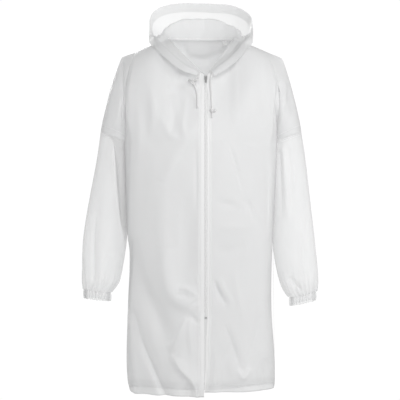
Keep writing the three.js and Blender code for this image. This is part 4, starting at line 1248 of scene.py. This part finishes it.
def cord_piece(word, route):
    data = bpy.data.curves.new("cord_" + word, "CURVE")
    data.dimensions = "3D"
    data.bevel_depth = CORD_RADIUS * MM
    data.bevel_resolution = 4
    data.use_fill_caps = True
    line, length = centripetal(np.array(route, float), samples=80)
    spline = data.splines.new("POLY")
    spline.points.add(len(line) - 1)
    for point, place in zip(spline.points, line * MM):
        point.co = (*place, 1)
    piece = link("cord_" + word, data, CORD)
    points, faces = tube(knot_line(**KNOTS[word]), KNOT_RADIUS)
    knot_piece = mesh_piece("knot_" + word, points, faces, CORD)
    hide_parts("drawcord_" + word)
    tuple(np.array(route[0]) * MM)


cord_piece("left", CORD_LEFT_ROUTE)
cord_piece("right", CORD_RIGHT_ROUTE)


# Stitching

STITCH_LENGTH = 2.8
STITCH_PITCH = 4
STITCH_WIDTH = 0.45
STITCH_LIFT = np.array((0, -0.5, 0))


def stitches(name, lines):
    """Short threads along lines of points, each a drawn-out octahedron."""
    points, faces = [], []
    for line in lines:
        length = lengths(line)
        places = np.arange(0, length[-1] - STITCH_LENGTH, STITCH_PITCH)
        starts, ends = (points_at(places + offset, length, line) for offset in (0, STITCH_LENGTH))
        for start, end in zip(starts, ends):
            ahead = (end - start) / STITCH_LENGTH
            across = np.cross(ahead, (0.2, 1, 0.1))
            across = across / np.linalg.norm(across) * STITCH_WIDTH
            out = np.cross(across, ahead)
            middle = (start + end) / 2
            base = len(points)
            points.extend([start, end, middle + across, middle + out, middle - across, middle - out])
            for k in range(4):
                a, b = base + 2 + k, base + 2 + (k + 1) % 4
                faces.append((base, b, a))
                faces.append((base + 1, a, b))
    piece = mesh_piece(name, points, faces, THREAD)


def line_beside(grid, distance):
    """A line up a grid, this far from its first column, or from its last one if distance is below 0."""
    line = []
    for row in grid if distance > 0 else grid[:, ::-1]:
        known = row[~np.isnan(row[:, 0])]
        if len(known) > 1:
            line.append(points_at(abs(distance), lengths(known), known))
    return np.array(line)


def line_above(grid, distance):
    """A line along a grid, this far above its first row."""
    return line_beside(grid.transpose(1, 0, 2), distance)


# The coat

front_right, right_grid = front_piece(-1)
front_left, left_grid = front_piece(1)
back, back_grid = back_piece()
sleeve_right, sleeve_right_grid = sleeve_piece(-1)
sleeve_left, sleeve_left_grid = sleeve_piece(1)
cuff_right, cuff_right_grid = cuff_piece(-1)
cuff_left, cuff_left_grid = cuff_piece(1)
hood, hood_grid = hood_pieces()
zip_tape(-1, right_grid)
zip_tape(1, left_grid)
zip_teeth()
paint_small_nodes()

for word, grid, distance in (("right", right_grid, -ZIP_STITCH[-1]), ("left", left_grid, ZIP_STITCH[1])):
    by_zip = line_beside(grid, distance) + STITCH_LIFT
    stitches("stitching_front_" + word, [by_zip, line_above(grid, HEM_TURN - 2) + STITCH_LIFT])
stitches("stitching_back", [line_above(back_grid, HEM_TURN - 2) - STITCH_LIFT])
stitches("stitching_neck", [line_above(hood_grid, 4)])
for word, grid in (("right", sleeve_right_grid), ("left", sleeve_left_grid)):
    stitches("stitching_armhole_" + word, [line_above(grid, 3), line_above(grid, 7)])


# Stage and light, in metres

FLOOR_RADIUS = 2.4
FLOOR_Z = -1.42


def stage():
    place = (0, 0, FLOOR_Z)
    bpy.ops.mesh.primitive_circle_add(vertices=96, radius=FLOOR_RADIUS, fill_type="NGON", location=place)
    floor = bpy.context.active_object
    floor.name = "floor"
    paint = Paint("floor", Roughness=0.9)
    floor.data.materials.append(
        paint.surface(Base_Color=paint.between(paint.noise(scale=6), grey(0.56), grey(0.62)))
    )
    floor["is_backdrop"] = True


def area_light(name, place, power, size):
    data = bpy.data.lights.new(name, "AREA")
    data.energy = power
    data.size = size
    light = bpy.data.objects.new(name, data)
    light.location = place
    aim = Vector((0, 0, CAMERA_Z * MM)) - Vector(place)
    light.rotation_euler = aim.to_track_quat("-Z", "Y").to_euler()
    bpy.context.collection.objects.link(light)


def world(backdrop, ambient):
    sky = bpy.data.worlds.new("world")
    sky.use_nodes = True
    tree = sky.node_tree
    seen = tree.nodes["Background"]
    seen.inputs["Color"].default_value = (1, 1, 1, 1)
    seen.inputs["Strength"].default_value = backdrop
    lighting = tree.nodes.new("ShaderNodeBackground")
    lighting.inputs["Strength"].default_value = ambient
    lighting.inputs["Color"].default_value = (1, 1, 1, 1)
    path = tree.nodes.new("ShaderNodeLightPath")
    mix = tree.nodes.new("ShaderNodeMixShader")
    tree.links.new(path.outputs["Is Camera Ray"], mix.inputs["Fac"])
    tree.links.new(lighting.outputs[0], mix.inputs[1])
    tree.links.new(seen.outputs[0], mix.inputs[2])
    tree.links.new(mix.outputs[0], tree.nodes["World Output"].inputs["Surface"])
    bpy.context.scene.world = sky


stage()
world(backdrop=1.02, ambient=0.3)
area_light("key", place=(0.3, -2.8, 0.6), power=42, size=1.1)
area_light("raking", place=(1.6, -1.3, 0.5), power=11, size=0.7)
area_light("right_side", place=(2.6, 0.5, -0.3), power=12, size=1.1)
area_light("left_side", place=(-2.6, 0.5, -0.3), power=15, size=1.1)
area_light("behind", place=(-0.8, 2.5, 0.7), power=34, size=0.9)
bpy.context.scene.view_settings.view_transform = "Standard"

visual_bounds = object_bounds()
sizes = {"cad": cad_bounds, "visual": visual_bounds}
{word: [list(map(float, corner)) for corner in box] for word, box in sizes.items()}
